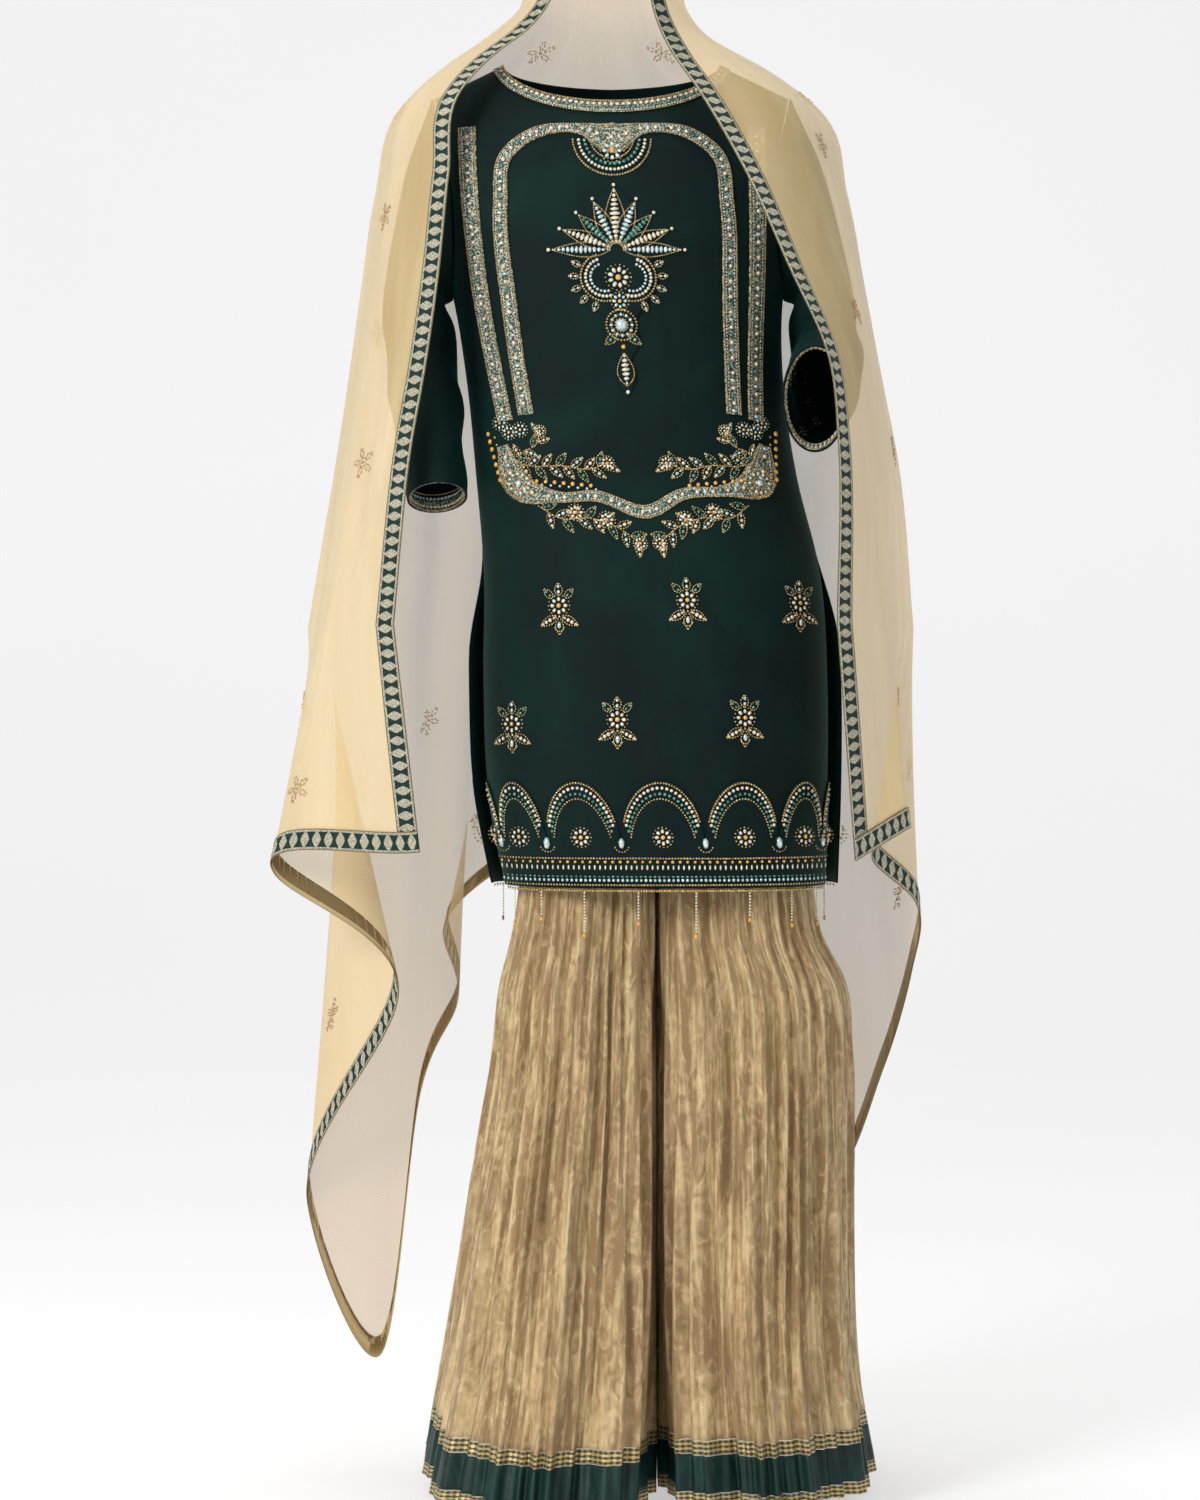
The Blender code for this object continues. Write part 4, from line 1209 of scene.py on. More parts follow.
class Embroidery:
    """Beads and stones laid out flat, then set on a surface by Geometry Nodes.

    The shares size a motif's parts by its radius, length or height. A row of beads is its pitch
    and a bead's length and width.
    """

    dot = 0.0022
    full_turn = tau - 1e-6
    eye_share, petal_ring, petal_length, petal_width = 0.55, 0.62, 0.52, 0.51
    edge_row = (0.0024, 0.0026, 0.0019)
    edge_points, edge_power = 7, 0.8
    leaf_pitch, leaf_least, leaf_fill = 0.0046, 0.0016, 0.62
    leaf_start, leaf_rest = 0.7, 0.4
    stem_row = (0.0030, 0.0034, 0.0018)
    vine_start, vine_step, vine_lean, vine_width = 0.6, 0.002, 0.85, 0.42
    vine_stones = (Stone.GREEN, Stone.PEARL, Stone.CRYSTAL)
    drop_width, drop_sink, drop_ring, drop_beads = 0.55, 0.12, 0.52, 7
    drop_arc = (pi * 1.05, pi * 1.95)
    curl_row = (0.0026, 0.0028, 0.0018)
    flat_share, sink_share = 0.72, 0.28

    def __init__(self, surface: Surface, lift: float = 0.0004) -> None:
        """Starts with no bead on a surface."""
        self.surface = surface
        self.lift = lift
        self.beads: dict[Stone, list[tuple[float, ...]]] = {stone: [] for stone in Stone}

    def bead(
        self, stone: Stone, x: float, z: float, length: float, width: float = 0.0, angle: float = 0.0
    ) -> None:
        """One bead of a length along an angle, round where it has no width of its own."""
        self.beads[stone].append((x, z, angle, length, width or length))

    def line(
        self,
        stone: Stone,
        route: Sequence[tuple[float, float]],
        pitch: float,
        length: float,
        width: float = 0.0,
    ) -> None:
        """Beads at an even pitch along a smooth route."""
        points = np.array(route, float)
        steps = run_lengths(points)
        count = max(int(steps[-1] / pitch), 1)
        at = (np.arange(count) + 0.5) * steps[-1] / count
        here = curve_value(steps, points, at)
        way = curve_value(steps, points, at + pitch / 4) - curve_value(steps, points, at - pitch / 4)
        for (x, z), (dx, dz) in zip(here, way):
            self.bead(stone, x, z, length, width, float(np.arctan2(dz, dx)))

    def arc(
        self,
        stone: Stone,
        x: float,
        z: float,
        radius: float,
        start: float,
        end: float,
        count: int,
        length: float,
        width: float = 0.0,
        radial: bool = False,
    ) -> None:
        """Beads on an arc between two angles, lying along it or pointing out of it."""
        closed = abs(end - start) > self.full_turn
        for k in range(count):
            turn = start + (end - start) * (k / count if closed else (k + 0.5) / count)
            angle = turn if radial else turn + pi / 2
            self.bead(stone, x + radius * cos(turn), z + radius * sin(turn), length, width, angle)

    def flower(self, x: float, z: float, radius: float, petals: int = 8, petal: Stone = Stone.PEARL) -> None:
        """A round flower: a stone, petals and a ring of small gold beads."""
        self.bead(Stone.AMBER, x, z, radius * self.eye_share)
        width = tau * radius * self.petal_width / petals
        length = radius * self.petal_length
        self.arc(petal, x, z, radius * self.petal_ring, 0, tau, petals, length, width, radial=True)
        self.arc(Stone.GOLD, x, z, radius, pi / petals, tau + pi / petals, petals * 2, self.dot)

    def leaf(
        self, x: float, z: float, angle: float, length: float, width: float, stone: Stone = Stone.GREEN
    ) -> None:
        """A pointed leaf that starts at a place: a gold outline round a row of stones."""
        turn = np.array([[cos(angle), sin(angle)], [-sin(angle), cos(angle)]])
        shares = np.linspace(0, 1, self.edge_points)
        bulge = width / 2 * np.sin(pi * shares**self.edge_power)
        for side in (-1, 1):
            edge = np.stack([shares * length, side * bulge], axis=1) @ turn + (x, z)
            self.line(Stone.GOLD, edge, *self.edge_row)
        count = max(int(length / self.leaf_pitch), 1)
        for share in (np.arange(count) + self.leaf_start) / (count + self.leaf_rest):
            place = np.array((share * length, 0.0)) @ turn + (x, z)
            across = max(width * self.leaf_fill * sin(pi * share), self.leaf_least)
            self.bead(stone, *place, self.leaf_pitch, across, angle)

    def vine(
        self, route: Sequence[tuple[float, float]], leaves: int, leaf_length: float, flip: int = 1
    ) -> None:
        """A stem with leaves to both sides in turn and a small flower at its end."""
        points = np.array(route, float)
        steps = run_lengths(points)
        width = leaf_length * self.vine_width
        self.line(Stone.GOLD, route, *self.stem_row)
        for k in range(leaves):
            at = steps[-1] * (k + self.vine_start) / leaves
            x, z = curve_value(steps, points, at)
            ahead, behind = (curve_value(steps, points, at + way * self.vine_step) for way in (1, -1))
            dx, dz = ahead - behind
            lean = (self.vine_lean if k % 2 else -self.vine_lean) * flip
            stone = self.vine_stones[k % len(self.vine_stones)]
            self.leaf(x, z, float(np.arctan2(dz, dx)) + lean, leaf_length, width, stone)
        self.flower(*points[-1], width)

    def drop(self, x: float, z: float, height: float, stone: Stone = Stone.CRYSTAL) -> None:
        """A hanging drop: a long stone with gold beads round its lower end."""
        self.bead(stone, x, z, height, height * self.drop_width, pi / 2)
        low = z - height * self.drop_sink
        self.arc(Stone.GOLD, x, low, height * self.drop_ring, *self.drop_arc, self.drop_beads, self.dot)

    def sprig(self, x: float, z: float, height: float) -> None:
        """A field motif: a flower between two pairs of leaves, over a drop.

        Each row of leaves has the foot's place, the lean from upright, length and width, as shares
        of the height, and the stones.
        """
        self.flower(x, z + height * 0.12, height * 0.19)
        self.leaf(x, z + height * 0.30, pi / 2, height * 0.24, height * 0.14, Stone.CRYSTAL)
        leaves = (
            (0.11, 0.26, 0.75, 0.23, 0.12, Stone.GREEN),
            (0.05, -0.08, pi - 1.05, 0.34, 0.15, Stone.PEARL),
        )
        for side in (-1, 1):
            for out, up, lean, length, width, stone in leaves:
                foot = x + side * height * out, z + height * up
                self.leaf(*foot, pi / 2 - side * lean, height * length, height * width, stone)
            curl = ((0.0, -0.06), (side * 0.07, -0.28), (0.0, -0.42))
            route = [(x + height * out, z + height * up) for out, up in curl]
            self.line(Stone.GOLD, route, *self.curl_row)
        self.drop(x, z - height * 0.24, height * 0.17)

    def build(
        self, name: str, finishes: dict[Stone, bpy.types.Material], detail: int = 1
    ) -> list[bpy.types.Object]:
        """Sets the beads on the surface.

        Args:
            name: first word of the pieces' names.
            finishes: a material for each stone.
            detail: subdivisions of a bead's ball.

        Returns:
            One piece for each kind of stone that was used.
        """
        pieces = []
        for stone, beads in self.beads.items():
            if not beads:
                continue
            x, z, angle, length, width = np.array(beads).T
            places, normals, across, up = self.surface(x, z)
            along = across * np.cos(angle)[:, None] + up * np.sin(angle)[:, None]
            height = np.minimum(length, width) * self.flat_share
            points = places + normals * (self.lift + height * self.sink_share)[:, None]
            sizes = np.stack([length, width, height], axis=1)
            vectors = {"out_way": normals, "long_way": along, "bead_size": sizes}
            cloud = bead_cloud(f"{name}_{stone.value}", points, vectors)
            set_beads(cloud, finishes[stone], detail)
            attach(cloud, "root")
            LOG.info("%s: %d beads", cloud.name, len(beads))
            pieces.append(cloud)
        return pieces


def bead_cloud(name: str, points: np.ndarray, vectors: dict[str, np.ndarray]) -> bpy.types.Object:
    """A mesh of loose points with a vector attribute for each entry."""
    mesh = bpy.data.meshes.new(name)
    mesh.from_pydata(points.tolist(), [], [])
    for key, values in vectors.items():
        layer = mesh.attributes.new(key, "FLOAT_VECTOR", "POINT")
        layer.data.foreach_set("vector", values.reshape(-1).astype(np.float32))
    obj = bpy.data.objects.new(name, mesh)
    bpy.context.scene.collection.objects.link(obj)
    return obj


def bead_tree() -> bpy.types.NodeTree:
    """Geometry Nodes that put a ball on every point, turned and sized by its attributes."""
    tree = bpy.data.node_groups.get("bead_setting")
    if tree:
        return tree
    tree = bpy.data.node_groups.new("bead_setting", "GeometryNodeTree")
    inputs = {
        "Geometry": "NodeSocketGeometry",
        "Ball Detail": "NodeSocketInt",
        "Size Spread": "NodeSocketFloat",
        "Seed": "NodeSocketInt",
        "Finish": "NodeSocketMaterial",
    }
    for name, kind in inputs.items():
        tree.interface.new_socket(name, in_out="INPUT", socket_type=kind)
    tree.interface.new_socket("Geometry", in_out="OUTPUT", socket_type="NodeSocketGeometry")
    nodes, link = tree.nodes, tree.links.new
    source, sink = nodes.new("NodeGroupInput"), nodes.new("NodeGroupOutput")

    def vector(name: str) -> bpy.types.NodeSocket:
        """Reads one of the points' attributes."""
        node = nodes.new("GeometryNodeInputNamedAttribute")
        node.data_type = "FLOAT_VECTOR"
        node.inputs["Name"].default_value = name
        return node.outputs["Attribute"]

    ball = nodes.new("GeometryNodeMeshIcoSphere")
    ball.inputs["Radius"].default_value = 0.5
    link(source.outputs["Ball Detail"], ball.inputs["Subdivisions"])
    smooth = nodes.new("GeometryNodeSetShadeSmooth")
    link(ball.outputs["Mesh"], smooth.inputs["Geometry"])
    turn = nodes.new("FunctionNodeAxesToRotation")
    turn.primary_axis, turn.secondary_axis = "Z", "X"
    link(vector("out_way"), turn.inputs["Primary Axis"])
    link(vector("long_way"), turn.inputs["Secondary Axis"])
    low = nodes.new("ShaderNodeMath")
    low.operation = "SUBTRACT"
    low.inputs[0].default_value = 1.0
    link(source.outputs["Size Spread"], low.inputs[1])
    spread = nodes.new("FunctionNodeRandomValue")
    spread.inputs[3].default_value = 1.0
    link(low.outputs[0], spread.inputs[2])
    link(source.outputs["Seed"], spread.inputs["Seed"])
    size = nodes.new("ShaderNodeVectorMath")
    size.operation = "SCALE"
    link(vector("bead_size"), size.inputs[0])
    link(spread.outputs[1], size.inputs["Scale"])
    setting = nodes.new("GeometryNodeInstanceOnPoints")
    link(source.outputs["Geometry"], setting.inputs["Points"])
    link(smooth.outputs["Geometry"], setting.inputs["Instance"])
    link(turn.outputs["Rotation"], setting.inputs["Rotation"])
    link(size.outputs["Vector"], setting.inputs["Scale"])
    real = nodes.new("GeometryNodeRealizeInstances")
    link(setting.outputs["Instances"], real.inputs["Geometry"])
    finish = nodes.new("GeometryNodeSetMaterial")
    link(real.outputs["Geometry"], finish.inputs["Geometry"])
    link(source.outputs["Finish"], finish.inputs["Material"])
    link(finish.outputs["Geometry"], sink.inputs["Geometry"])
    return tree


def set_beads(cloud: bpy.types.Object, finish: bpy.types.Material, detail: int) -> None:
    """Turns a cloud of points into beads with a plain mesh."""
    tree = bead_tree()
    settings = {"Ball Detail": detail, "Size Spread": SIZE_SPREAD, "Seed": SEED, "Finish": finish}
    setting = cloud.modifiers.new("beads", "NODES")
    setting.node_group = tree
    for item in tree.interface.items_tree:
        if item.in_out == "INPUT" and item.name in settings:
            setting[item.identifier] = settings[item.name]
    bake(cloud)
    for name in ("out_way", "long_way", "bead_size"):
        if name in cloud.data.attributes:
            cloud.data.attributes.remove(cloud.data.attributes[name])


Band = tuple[float, float, float]
Row = tuple[float, Stone, float, float, float]


@dataclass
class Beadwork:
    """The tunic's embroidered bands, its chest ornament, field motifs and hem border.

    A Band is x, z and width at a turn of a band. A Row of beads is its distance from the edge, its
    stones, pitch, and a bead's length and width. The rings of a half-round, of the horns and of an
    arch have a radius or inset, stones, a count or pitch, and a bead's length.
    """

    form: KameezForm
    sleeves: SleeveForm
    trim: float = 0.0008
    lift: float = 0.0008
    frame: Sequence[Band] = (
        (-0.106, -0.345, 0.016),
        (-0.112, -0.240, 0.016),
        (-0.116, -0.130, 0.015),
        (-0.108, -0.078, 0.014),
        (-0.080, -0.056, 0.013),
        (-0.030, -0.052, 0.013),
        (0.000, -0.062, 0.034),
        (0.030, -0.052, 0.013),
        (0.080, -0.056, 0.013),
        (0.108, -0.078, 0.014),
        (0.115, -0.130, 0.015),
        (0.112, -0.240, 0.016),
        (0.106, -0.345, 0.016),
    )
    side_band: Sequence[Band] = (
        (0.149, -0.045, 0.019),
        (0.147, -0.130, 0.018),
        (0.142, -0.210, 0.017),
        (0.134, -0.290, 0.016),
        (0.128, -0.350, 0.016),
    )
    yoke: Sequence[Band] = (
        (-0.134, -0.375, 0.012),
        (-0.122, -0.418, 0.030),
        (-0.085, -0.430, 0.012),
        (-0.045, -0.430, 0.012),
        (0.000, -0.446, 0.014),
        (0.045, -0.427, 0.012),
        (0.085, -0.424, 0.012),
        (0.122, -0.412, 0.034),
        (0.134, -0.375, 0.012),
    )
    ornament: Sequence[Band] = (
        (0.000, -0.116, 0.008),
        (0.000, -0.138, 0.046),
        (0.000, -0.160, 0.034),
        (0.000, -0.178, 0.124),
        (0.000, -0.194, 0.060),
        (0.000, -0.210, 0.080),
        (0.000, -0.232, 0.060),
        (0.000, -0.254, 0.028),
        (0.000, -0.274, 0.036),
        (0.000, -0.292, 0.014),
        (0.000, -0.306, 0.022),
        (0.000, -0.324, 0.006),
    )
    field_sprigs: Sequence[tuple[float, float]] = (
        (-0.098, -0.548),
        (0.032, -0.543),
        (0.148, -0.544),
        (-0.148, -0.668),
        (-0.041, -0.664),
        (0.088, -0.662),
    )
    sprig_height: float = 0.056
    way_step: float = 0.002
    least_width: float = 0.006
    ground_step: float = 0.003
    ground_columns: int = 9
    stitch_step: float = 0.004
    edge_share: float = 0.42
    inner_share: float = 0.66
    edge_row: tuple[float, float, float] = (0.0026, 0.0028, 0.0022)
    inner_row: tuple[float, float, float] = (0.0034, 0.0026, 0.0018)
    band_pitch: float = 0.0078
    band_pearl: float = 0.0050
    band_stone: tuple[float, float] = (0.0072, 0.0040)
    boss: Band = (0.122, -0.415, 0.015)
    fan_foot: tuple[float, float] = (0.006, -0.180)
    fan: Sequence[Band] = (
        (0.00, 0.058, 0.020),
        (0.40, 0.048, 0.016),
        (0.80, 0.046, 0.015),
        (1.20, 0.052, 0.015),
        (1.56, 0.060, 0.015),
    )
    fan_stones: Sequence[Stone] = (Stone.PEARL, Stone.CRYSTAL, Stone.GREEN)
    fan_tip: tuple[float, float] = (0.009, 0.0046)
    horn_centre: tuple[float, float] = (0.014, -0.208)
    horn_turns: tuple[float, float] = (-0.62 * pi, 0.42 * pi)
    horn_rings: Sequence[tuple[float, Stone, int, float]] = (
        (0.024, Stone.GOLD, 26, 0.0030),
        (0.019, Stone.PEARL, 16, 0.0042),
        (0.014, Stone.CRYSTAL, 12, 0.0036),
    )
    horn_leaves: int = 5
    horn_leaf: tuple[float, float, float] = (0.026, 0.011, 0.006)
    horn_leaf_turns: tuple[float, float] = (pi * 0.35, 0.42)
    half_round: tuple[float, float] = (0.0, -0.062)
    half_round_rings: Sequence[tuple[float, Stone, int, float]] = (
        (0.040, Stone.GOLD, 44, 0.0030),
        (0.034, Stone.PEARL, 26, 0.0042),
        (0.028, Stone.GREEN, 18, 0.0046),
        (0.022, Stone.GOLD, 24, 0.0028),
    )
    spray: Sequence[tuple[float, float]] = (
        (0.128, -0.392), (0.104, -0.398), (0.078, -0.398), (0.048, -0.402), (0.030, -0.396)
    )
    stem: Sequence[tuple[float, float]] = ((0.122, -0.400), (0.116, -0.384), (0.100, -0.376), (0.094, -0.362))
    garland: Sequence[tuple[float, float]] = (
        (0.108, -0.438), (0.086, -0.452), (0.058, -0.452), (0.030, -0.462), (0.010, -0.478)
    )
    corner_flowers: Sequence[tuple[float, float]] = ((0.126, -0.362), (0.134, -0.352), (0.114, -0.360))
    garland_flowers: Sequence[tuple[float, float]] = ((0.070, -0.446), (0.040, -0.454))
    yoke_dots: Sequence[tuple[Stone, float, float, float, float, float]] = (
        (Stone.AMBER, 0.1470, -0.362, -0.001, -0.008, 0.0062),
        (Stone.GOLD, 0.1410, -0.366, -0.001, -0.008, 0.0036),
        (Stone.AMBER, 0.1040, -0.413, -0.009, -0.001, 0.0052),
        (Stone.CRYSTAL, 0.0995, -0.417, -0.009, -0.001, 0.0034),
    )
    yoke_dot_count: int = 7
    neck_end: float = 0.06
    neck_spread: float = 0.8
    neck_clearance: float = 0.0012
    neck_lines: Sequence[float] = (0.0006, 0.004, 0.007, 0.0105, 0.014)
    neck_points: tuple[int, int] = (61, 41)
    neck_rows: Sequence[Row] = (
        (0.0018, Stone.GOLD, 0.0028, 0.0030, 0.0024),
        (0.0058, Stone.PEARL, 0.0060, 0.0050, 0.0042),
        (0.0094, Stone.GREEN, 0.0056, 0.0044, 0.0026),
        (0.0122, Stone.CRYSTAL, 0.0032, 0.0028, 0.0022),
        (0.0142, Stone.GOLD, 0.0028, 0.0030, 0.0020),
    )
    hem_band: float = 0.030
    hem_margin: float = 0.16
    arches: int = 6
    arch_height: float = 0.078
    arch_foot: float = 0.012
    hem_lift: float = 0.0015
    hem_end: float = 0.004
    hem_points: int = 61
    hem_rows: Sequence[Row] = (
        (0.0020, Stone.GOLD, 0.0030, 0.0032, 0.0026),
        (0.0068, Stone.CRYSTAL, 0.0046, 0.0036, 0.0040),
        (0.0104, Stone.GREEN, 0.0046, 0.0040, 0.0024),
        (0.0196, Stone.PEARL, 0.0052, 0.0024, 0.0062),
        (0.0252, Stone.AMBER, 0.0074, 0.0040, 0.0036),
        (0.0288, Stone.GOLD, 0.0030, 0.0032, 0.0026),
    )
    arch_grid: tuple[int, int, int] = (24, 8, 4)
    arch_reach: float = 0.46
    arch_points: int = 25
    arch_low: float = 0.4
    arch_narrowing: float = 9.0
    arch_rings: Sequence[tuple[float, Stone, float, float]] = (
        (0.003, Stone.GOLD, 0.0028, 0.0030),
        (0.008, Stone.PEARL, 0.0048, 0.0042),
        (0.014, Stone.GREEN, 0.0048, 0.0040),
        (0.019, Stone.GOLD, 0.0030, 0.0026),
    )
    arch_flower: tuple[float, float] = (0.020, 0.010)
    arch_flower_end: float = 0.03
    arch_drop: float = 0.014
    strand_lengths: Sequence[float] = (0.034, 0.030, 0.044, 0.032, 0.046, 0.030, 0.036, 0.034)
    strand_margin: float = 0.15
    cord_drop: float = 0.0024
    cord_end: float = 0.04
    cord_points: int = 60
    cord_row: tuple[float, float, float] = (0.0026, 0.0030, 0.0040)
    fringe_lift: float = -0.0022
    strand_pitch: float = 0.0032
    strand_bead: tuple[float, float] = (0.0030, 0.0026)
    strand_end: tuple[float, float, float] = (0.002, 0.0072, 0.0046)
    cuff_rings: int = 6
    cuff_points: int = 40
    cuff_rows: Sequence[Row] = (
        (0.0016, Stone.GOLD, 0.0030, 0.0032, 0.0024),
        (0.0056, Stone.PEARL, 0.0054, 0.0044, 0.0040),
        (0.0100, Stone.GREEN, 0.0060, 0.0030, 0.0050),
        (0.0142, Stone.CRYSTAL, 0.0054, 0.0040, 0.0036),
        (0.0186, Stone.GOLD, 0.0030, 0.0032, 0.0024),
    )
    vines: int = 5
    vine_sway: tuple[float, float] = (0.008, 60.0)
    vine_ends: tuple[float, float] = (0.030, 0.170)
    vine_points: int = 12
    vine_row: tuple[float, float, float] = (0.0040, 0.0032, 0.0014)
    vine_flowers: tuple[float, float, float] = (0.045, 0.165, 0.030)
    vine_flower: tuple[float, int, float, float] = (0.005, 6, 0.0040, 0.0018)

    def build(
        self,
        finishes: dict[Stone, bpy.types.Material],
        ground: bpy.types.Material,
        velvet: bpy.types.Material,
    ) -> None:
        """Makes the grounds and the beads of every part."""
        front = panel_surface(self.form, Side.FRONT)
        self.ground_strip("frame_ground", self.frame, ground, "frame_band")
        self.ground_strip("yoke_ground", self.yoke, ground, "yoke_band")
        self.ground_strip("ornament_ground", self.ornament, velvet, "centre_motif")
        for hand in Hand:
            rows = [(x * hand.value, z, width) for x, z, width in self.side_band]
            word = hand.name.lower()
            self.ground_strip(word + "_band_ground", rows, ground, "side_band_" + word)
        bands = Embroidery(front, self.lift + self.trim)
        self.stitch_band(bands, self.frame)
        self.stitch_band(bands, self.yoke)
        for sign in (-1, 1):
            self.stitch_band(bands, [(x * sign, z, width) for x, z, width in self.side_band])
            self.rosette(bands, sign * self.boss[0], *self.boss[1:])
        self.stitch_ornament(bands)
        bands.build("bands", finishes)
        yoke = Embroidery(front)
        self.stitch_yoke(yoke)
        yoke.build("yoke", finishes)
        for side in Side:
            surface = panel_surface(self.form, side)
            word = side.name.lower()
            self.neck_ground(side, ground)
            self.hem_ground(side, velvet)
            trims = Embroidery(surface, self.lift + self.trim)
            self.stitch_neck(trims, side)
            self.stitch_hem(trims, side)
            trims.build(word + "_trims", finishes)
            fields = Embroidery(surface)
            for x, z in self.field_sprigs:
                fields.sprig(x, z, self.sprig_height)
            fields.build(word + "_sprigs", finishes)
            self.build_fringe(side, finishes)
        self.build_cuffs(finishes, ground)

    def route(self, rows: Sequence[Band], step: float) -> tuple[np.ndarray, np.ndarray, np.ndarray]:
        """Places along a band.

        Args:
            rows: x, z and width at its turns.
            step: distance between the places.

        Returns:
            The places, the unit directions across and the widths.
        """
        table = np.array(rows, float)
        lengths = run_lengths(table[:, :2])
        at = np.linspace(0, lengths[-1], max(int(lengths[-1] / step), 2) + 1)
        here = curve_value(lengths, table, at)
        way = curve_value(lengths, table[:, :2], np.minimum(at + self.way_step, lengths[-1]))
        way = way - curve_value(lengths, table[:, :2], np.maximum(at - self.way_step, 0))
        across = np.stack([-way[:, 1], way[:, 0]], axis=1) / np.linalg.norm(way, axis=1, keepdims=True)
        return here[:, :2], across, np.maximum(here[:, 2], self.least_width)

    def shell(
        self, name: str, side: Side, x: np.ndarray, z: np.ndarray, ground: bpy.types.Material, *nodes: str
    ) -> bpy.types.Object:
        """A thin patch just above a panel, from a grid of places."""
        grid = self.form.points(side, x, z) + self.form.normals(side, x, z) * (self.lift + self.trim)
        patch = sheet_mesh(name, grid, metre_uvs(grid))
        thicken(patch, self.trim)
        return dress(patch, ground, "beadwork", *nodes)

    def ground_strip(self, name: str, rows: Sequence[Band], ground: bpy.types.Material, node: str) -> None:
        """The stitched ground of one band."""
        here, across, widths = self.route(rows, self.ground_step)
        offsets = widths[:, None] * np.linspace(-0.5, 0.5, self.ground_columns)
        places = here[:, None] + across[:, None] * offsets[..., None]
        self.shell(name, Side.FRONT, places[..., 0], places[..., 1], ground, node)

    def stitch_band(self, work: Embroidery, rows: Sequence[Band]) -> None:
        """Two edge rows of gold with stones and pearls in turn between them."""
        here, across, widths = self.route(rows, self.stitch_step)
        for side in (-self.edge_share, self.edge_share):
            offset = across * (widths * side)[:, None]
            work.line(Stone.GOLD, here + offset, *self.edge_row)
            work.line(Stone.CRYSTAL, here + offset * self.inner_share, *self.inner_row)
        count = int(run_lengths(here)[-1] / self.band_pitch)
        keys = np.linspace(0, 1, len(here))
        for k, share in enumerate((np.arange(count) + 0.5) / count):
            x, z = curve_value(keys, here, share)
            dx, dz = curve_value(keys, across, share)
            angle = float(np.arctan2(dz, dx))
            if k % 2:
                work.bead(Stone.PEARL, x, z, self.band_pearl)
            else:
                work.bead((Stone.GREEN, Stone.CRYSTAL)[k // 2 % 2], x, z, *self.band_stone, angle)

    def rosette(self, work: Embroidery, x: float, z: float, radius: float) -> None:
        """A round boss of rings."""
        work.bead(Stone.CRYSTAL, x, z, radius * 0.55)
        work.arc(Stone.GOLD, x, z, radius * 0.40, 0, tau, 14, 0.0026)
        work.arc(Stone.PEARL, x, z, radius * 0.66, 0, tau, 12, 0.0046, 0.0036, radial=True)
        work.arc(Stone.GREEN, x, z, radius * 0.66, pi / 12, tau + pi / 12, 12, 0.0040, 0.0018, radial=True)
        work.arc(Stone.GOLD, x, z, radius * 0.96, 0, tau, 30, 0.0030)

    def stitch_ornament(self, work: Embroidery) -> None:
        """The upright chest ornament: a fan of leaves over a flower, a great stone and a drop."""
        for k, (lean, length, width) in enumerate(self.fan):
            stone = self.fan_stones[k % len(self.fan_stones)]
            start, foot = self.fan_foot
            beyond, bead = self.fan_tip
            for sign in (-1, 1) if lean else (1,):
                angle = pi / 2 - sign * lean
                way = np.array((cos(angle), sin(angle)))
                work.leaf(*(way * start + (0, foot)), angle, length, width, stone)
                work.bead(Stone.PEARL, *(way * (length + beyond) + (0, foot)), bead)
        for sign in (-1, 1):
            centre = sign * self.horn_centre[0], self.horn_centre[1]
            turns = [turn if sign > 0 else pi - turn for turn in self.horn_turns]
            for radius, stone, count, size in self.horn_rings:
                work.arc(stone, *centre, radius, *turns, count, size)
            radius, length, width = self.horn_leaf
            first, step = self.horn_leaf_turns
            for k in range(self.horn_leaves):
                turn = pi / 2 - sign * (first + k * step)
                foot = np.array((cos(turn), sin(turn))) * radius + centre
                work.leaf(*foot, turn, length, width, Stone.CRYSTAL)
            work.leaf(sign * 0.006, -0.266, -pi / 2 + sign * 0.9, 0.016, 0.008)
        work.flower(0.0, -0.208, 0.013, 9)
        work.flower(0.0, -0.232, 0.009, 8, Stone.CRYSTAL)
        self.rosette(work, 0.0, -0.256, 0.016)
        work.bead(Stone.CRYSTAL, 0.0, -0.256, 0.016)
        work.bead(Stone.AMBER, 0.0, -0.278, 0.006)
        work.leaf(0.0, -0.318, pi / 2, 0.034, 0.017, Stone.PEARL)
        work.bead(Stone.CRYSTAL, 0.0, -0.324, 0.005)

    def stitch_yoke(self, work: Embroidery) -> None:
        """The half-round under the neck, the sprays at the yoke's corners and the garland under it."""
        for radius, stone, count, size in self.half_round_rings:
            work.arc(stone, *self.half_round, radius, -pi, 0, count, size)
        work.flower(0.0, -0.076, 0.012, 8, Stone.CRYSTAL)
        for sign in (-1, 1):
            for route, leaves, length, flip in (
                (self.spray, 14, 0.017, sign),
                (self.stem, 6, 0.014, -sign),
                (self.garland, 14, 0.017, sign),
            ):
                work.vine([(x * sign, z) for x, z in route], leaves, length, flip)
            for x, z in self.corner_flowers:
                work.flower(x * sign, z, 0.0075, 7, Stone.CRYSTAL)
            for k in range(self.yoke_dot_count):
                for stone, x, z, out, up, size in self.yoke_dots:
                    work.bead(stone, (x + out * k) * sign, z + up * k, size)
            for x, z in self.garland_flowers:
                work.flower(x * sign, z, 0.0085, 8)

    def neck_line(self, side: Side, offset: float, count: int) -> np.ndarray:
        """Places at a distance outside a panel's neckline, from its left to its right end."""
        turns = np.linspace(-1, 1, count) * (pi / 2 - self.neck_end)
        x = (self.form.neck_half_width + offset * self.neck_spread) * np.sin(turns)
        z = self.form.neck_side_z - (self.form.neck_drop[side] + offset) * np.cos(turns)
        return np.stack([x, np.minimum(z, self.form.top(side, x) - self.neck_clearance)], axis=1)

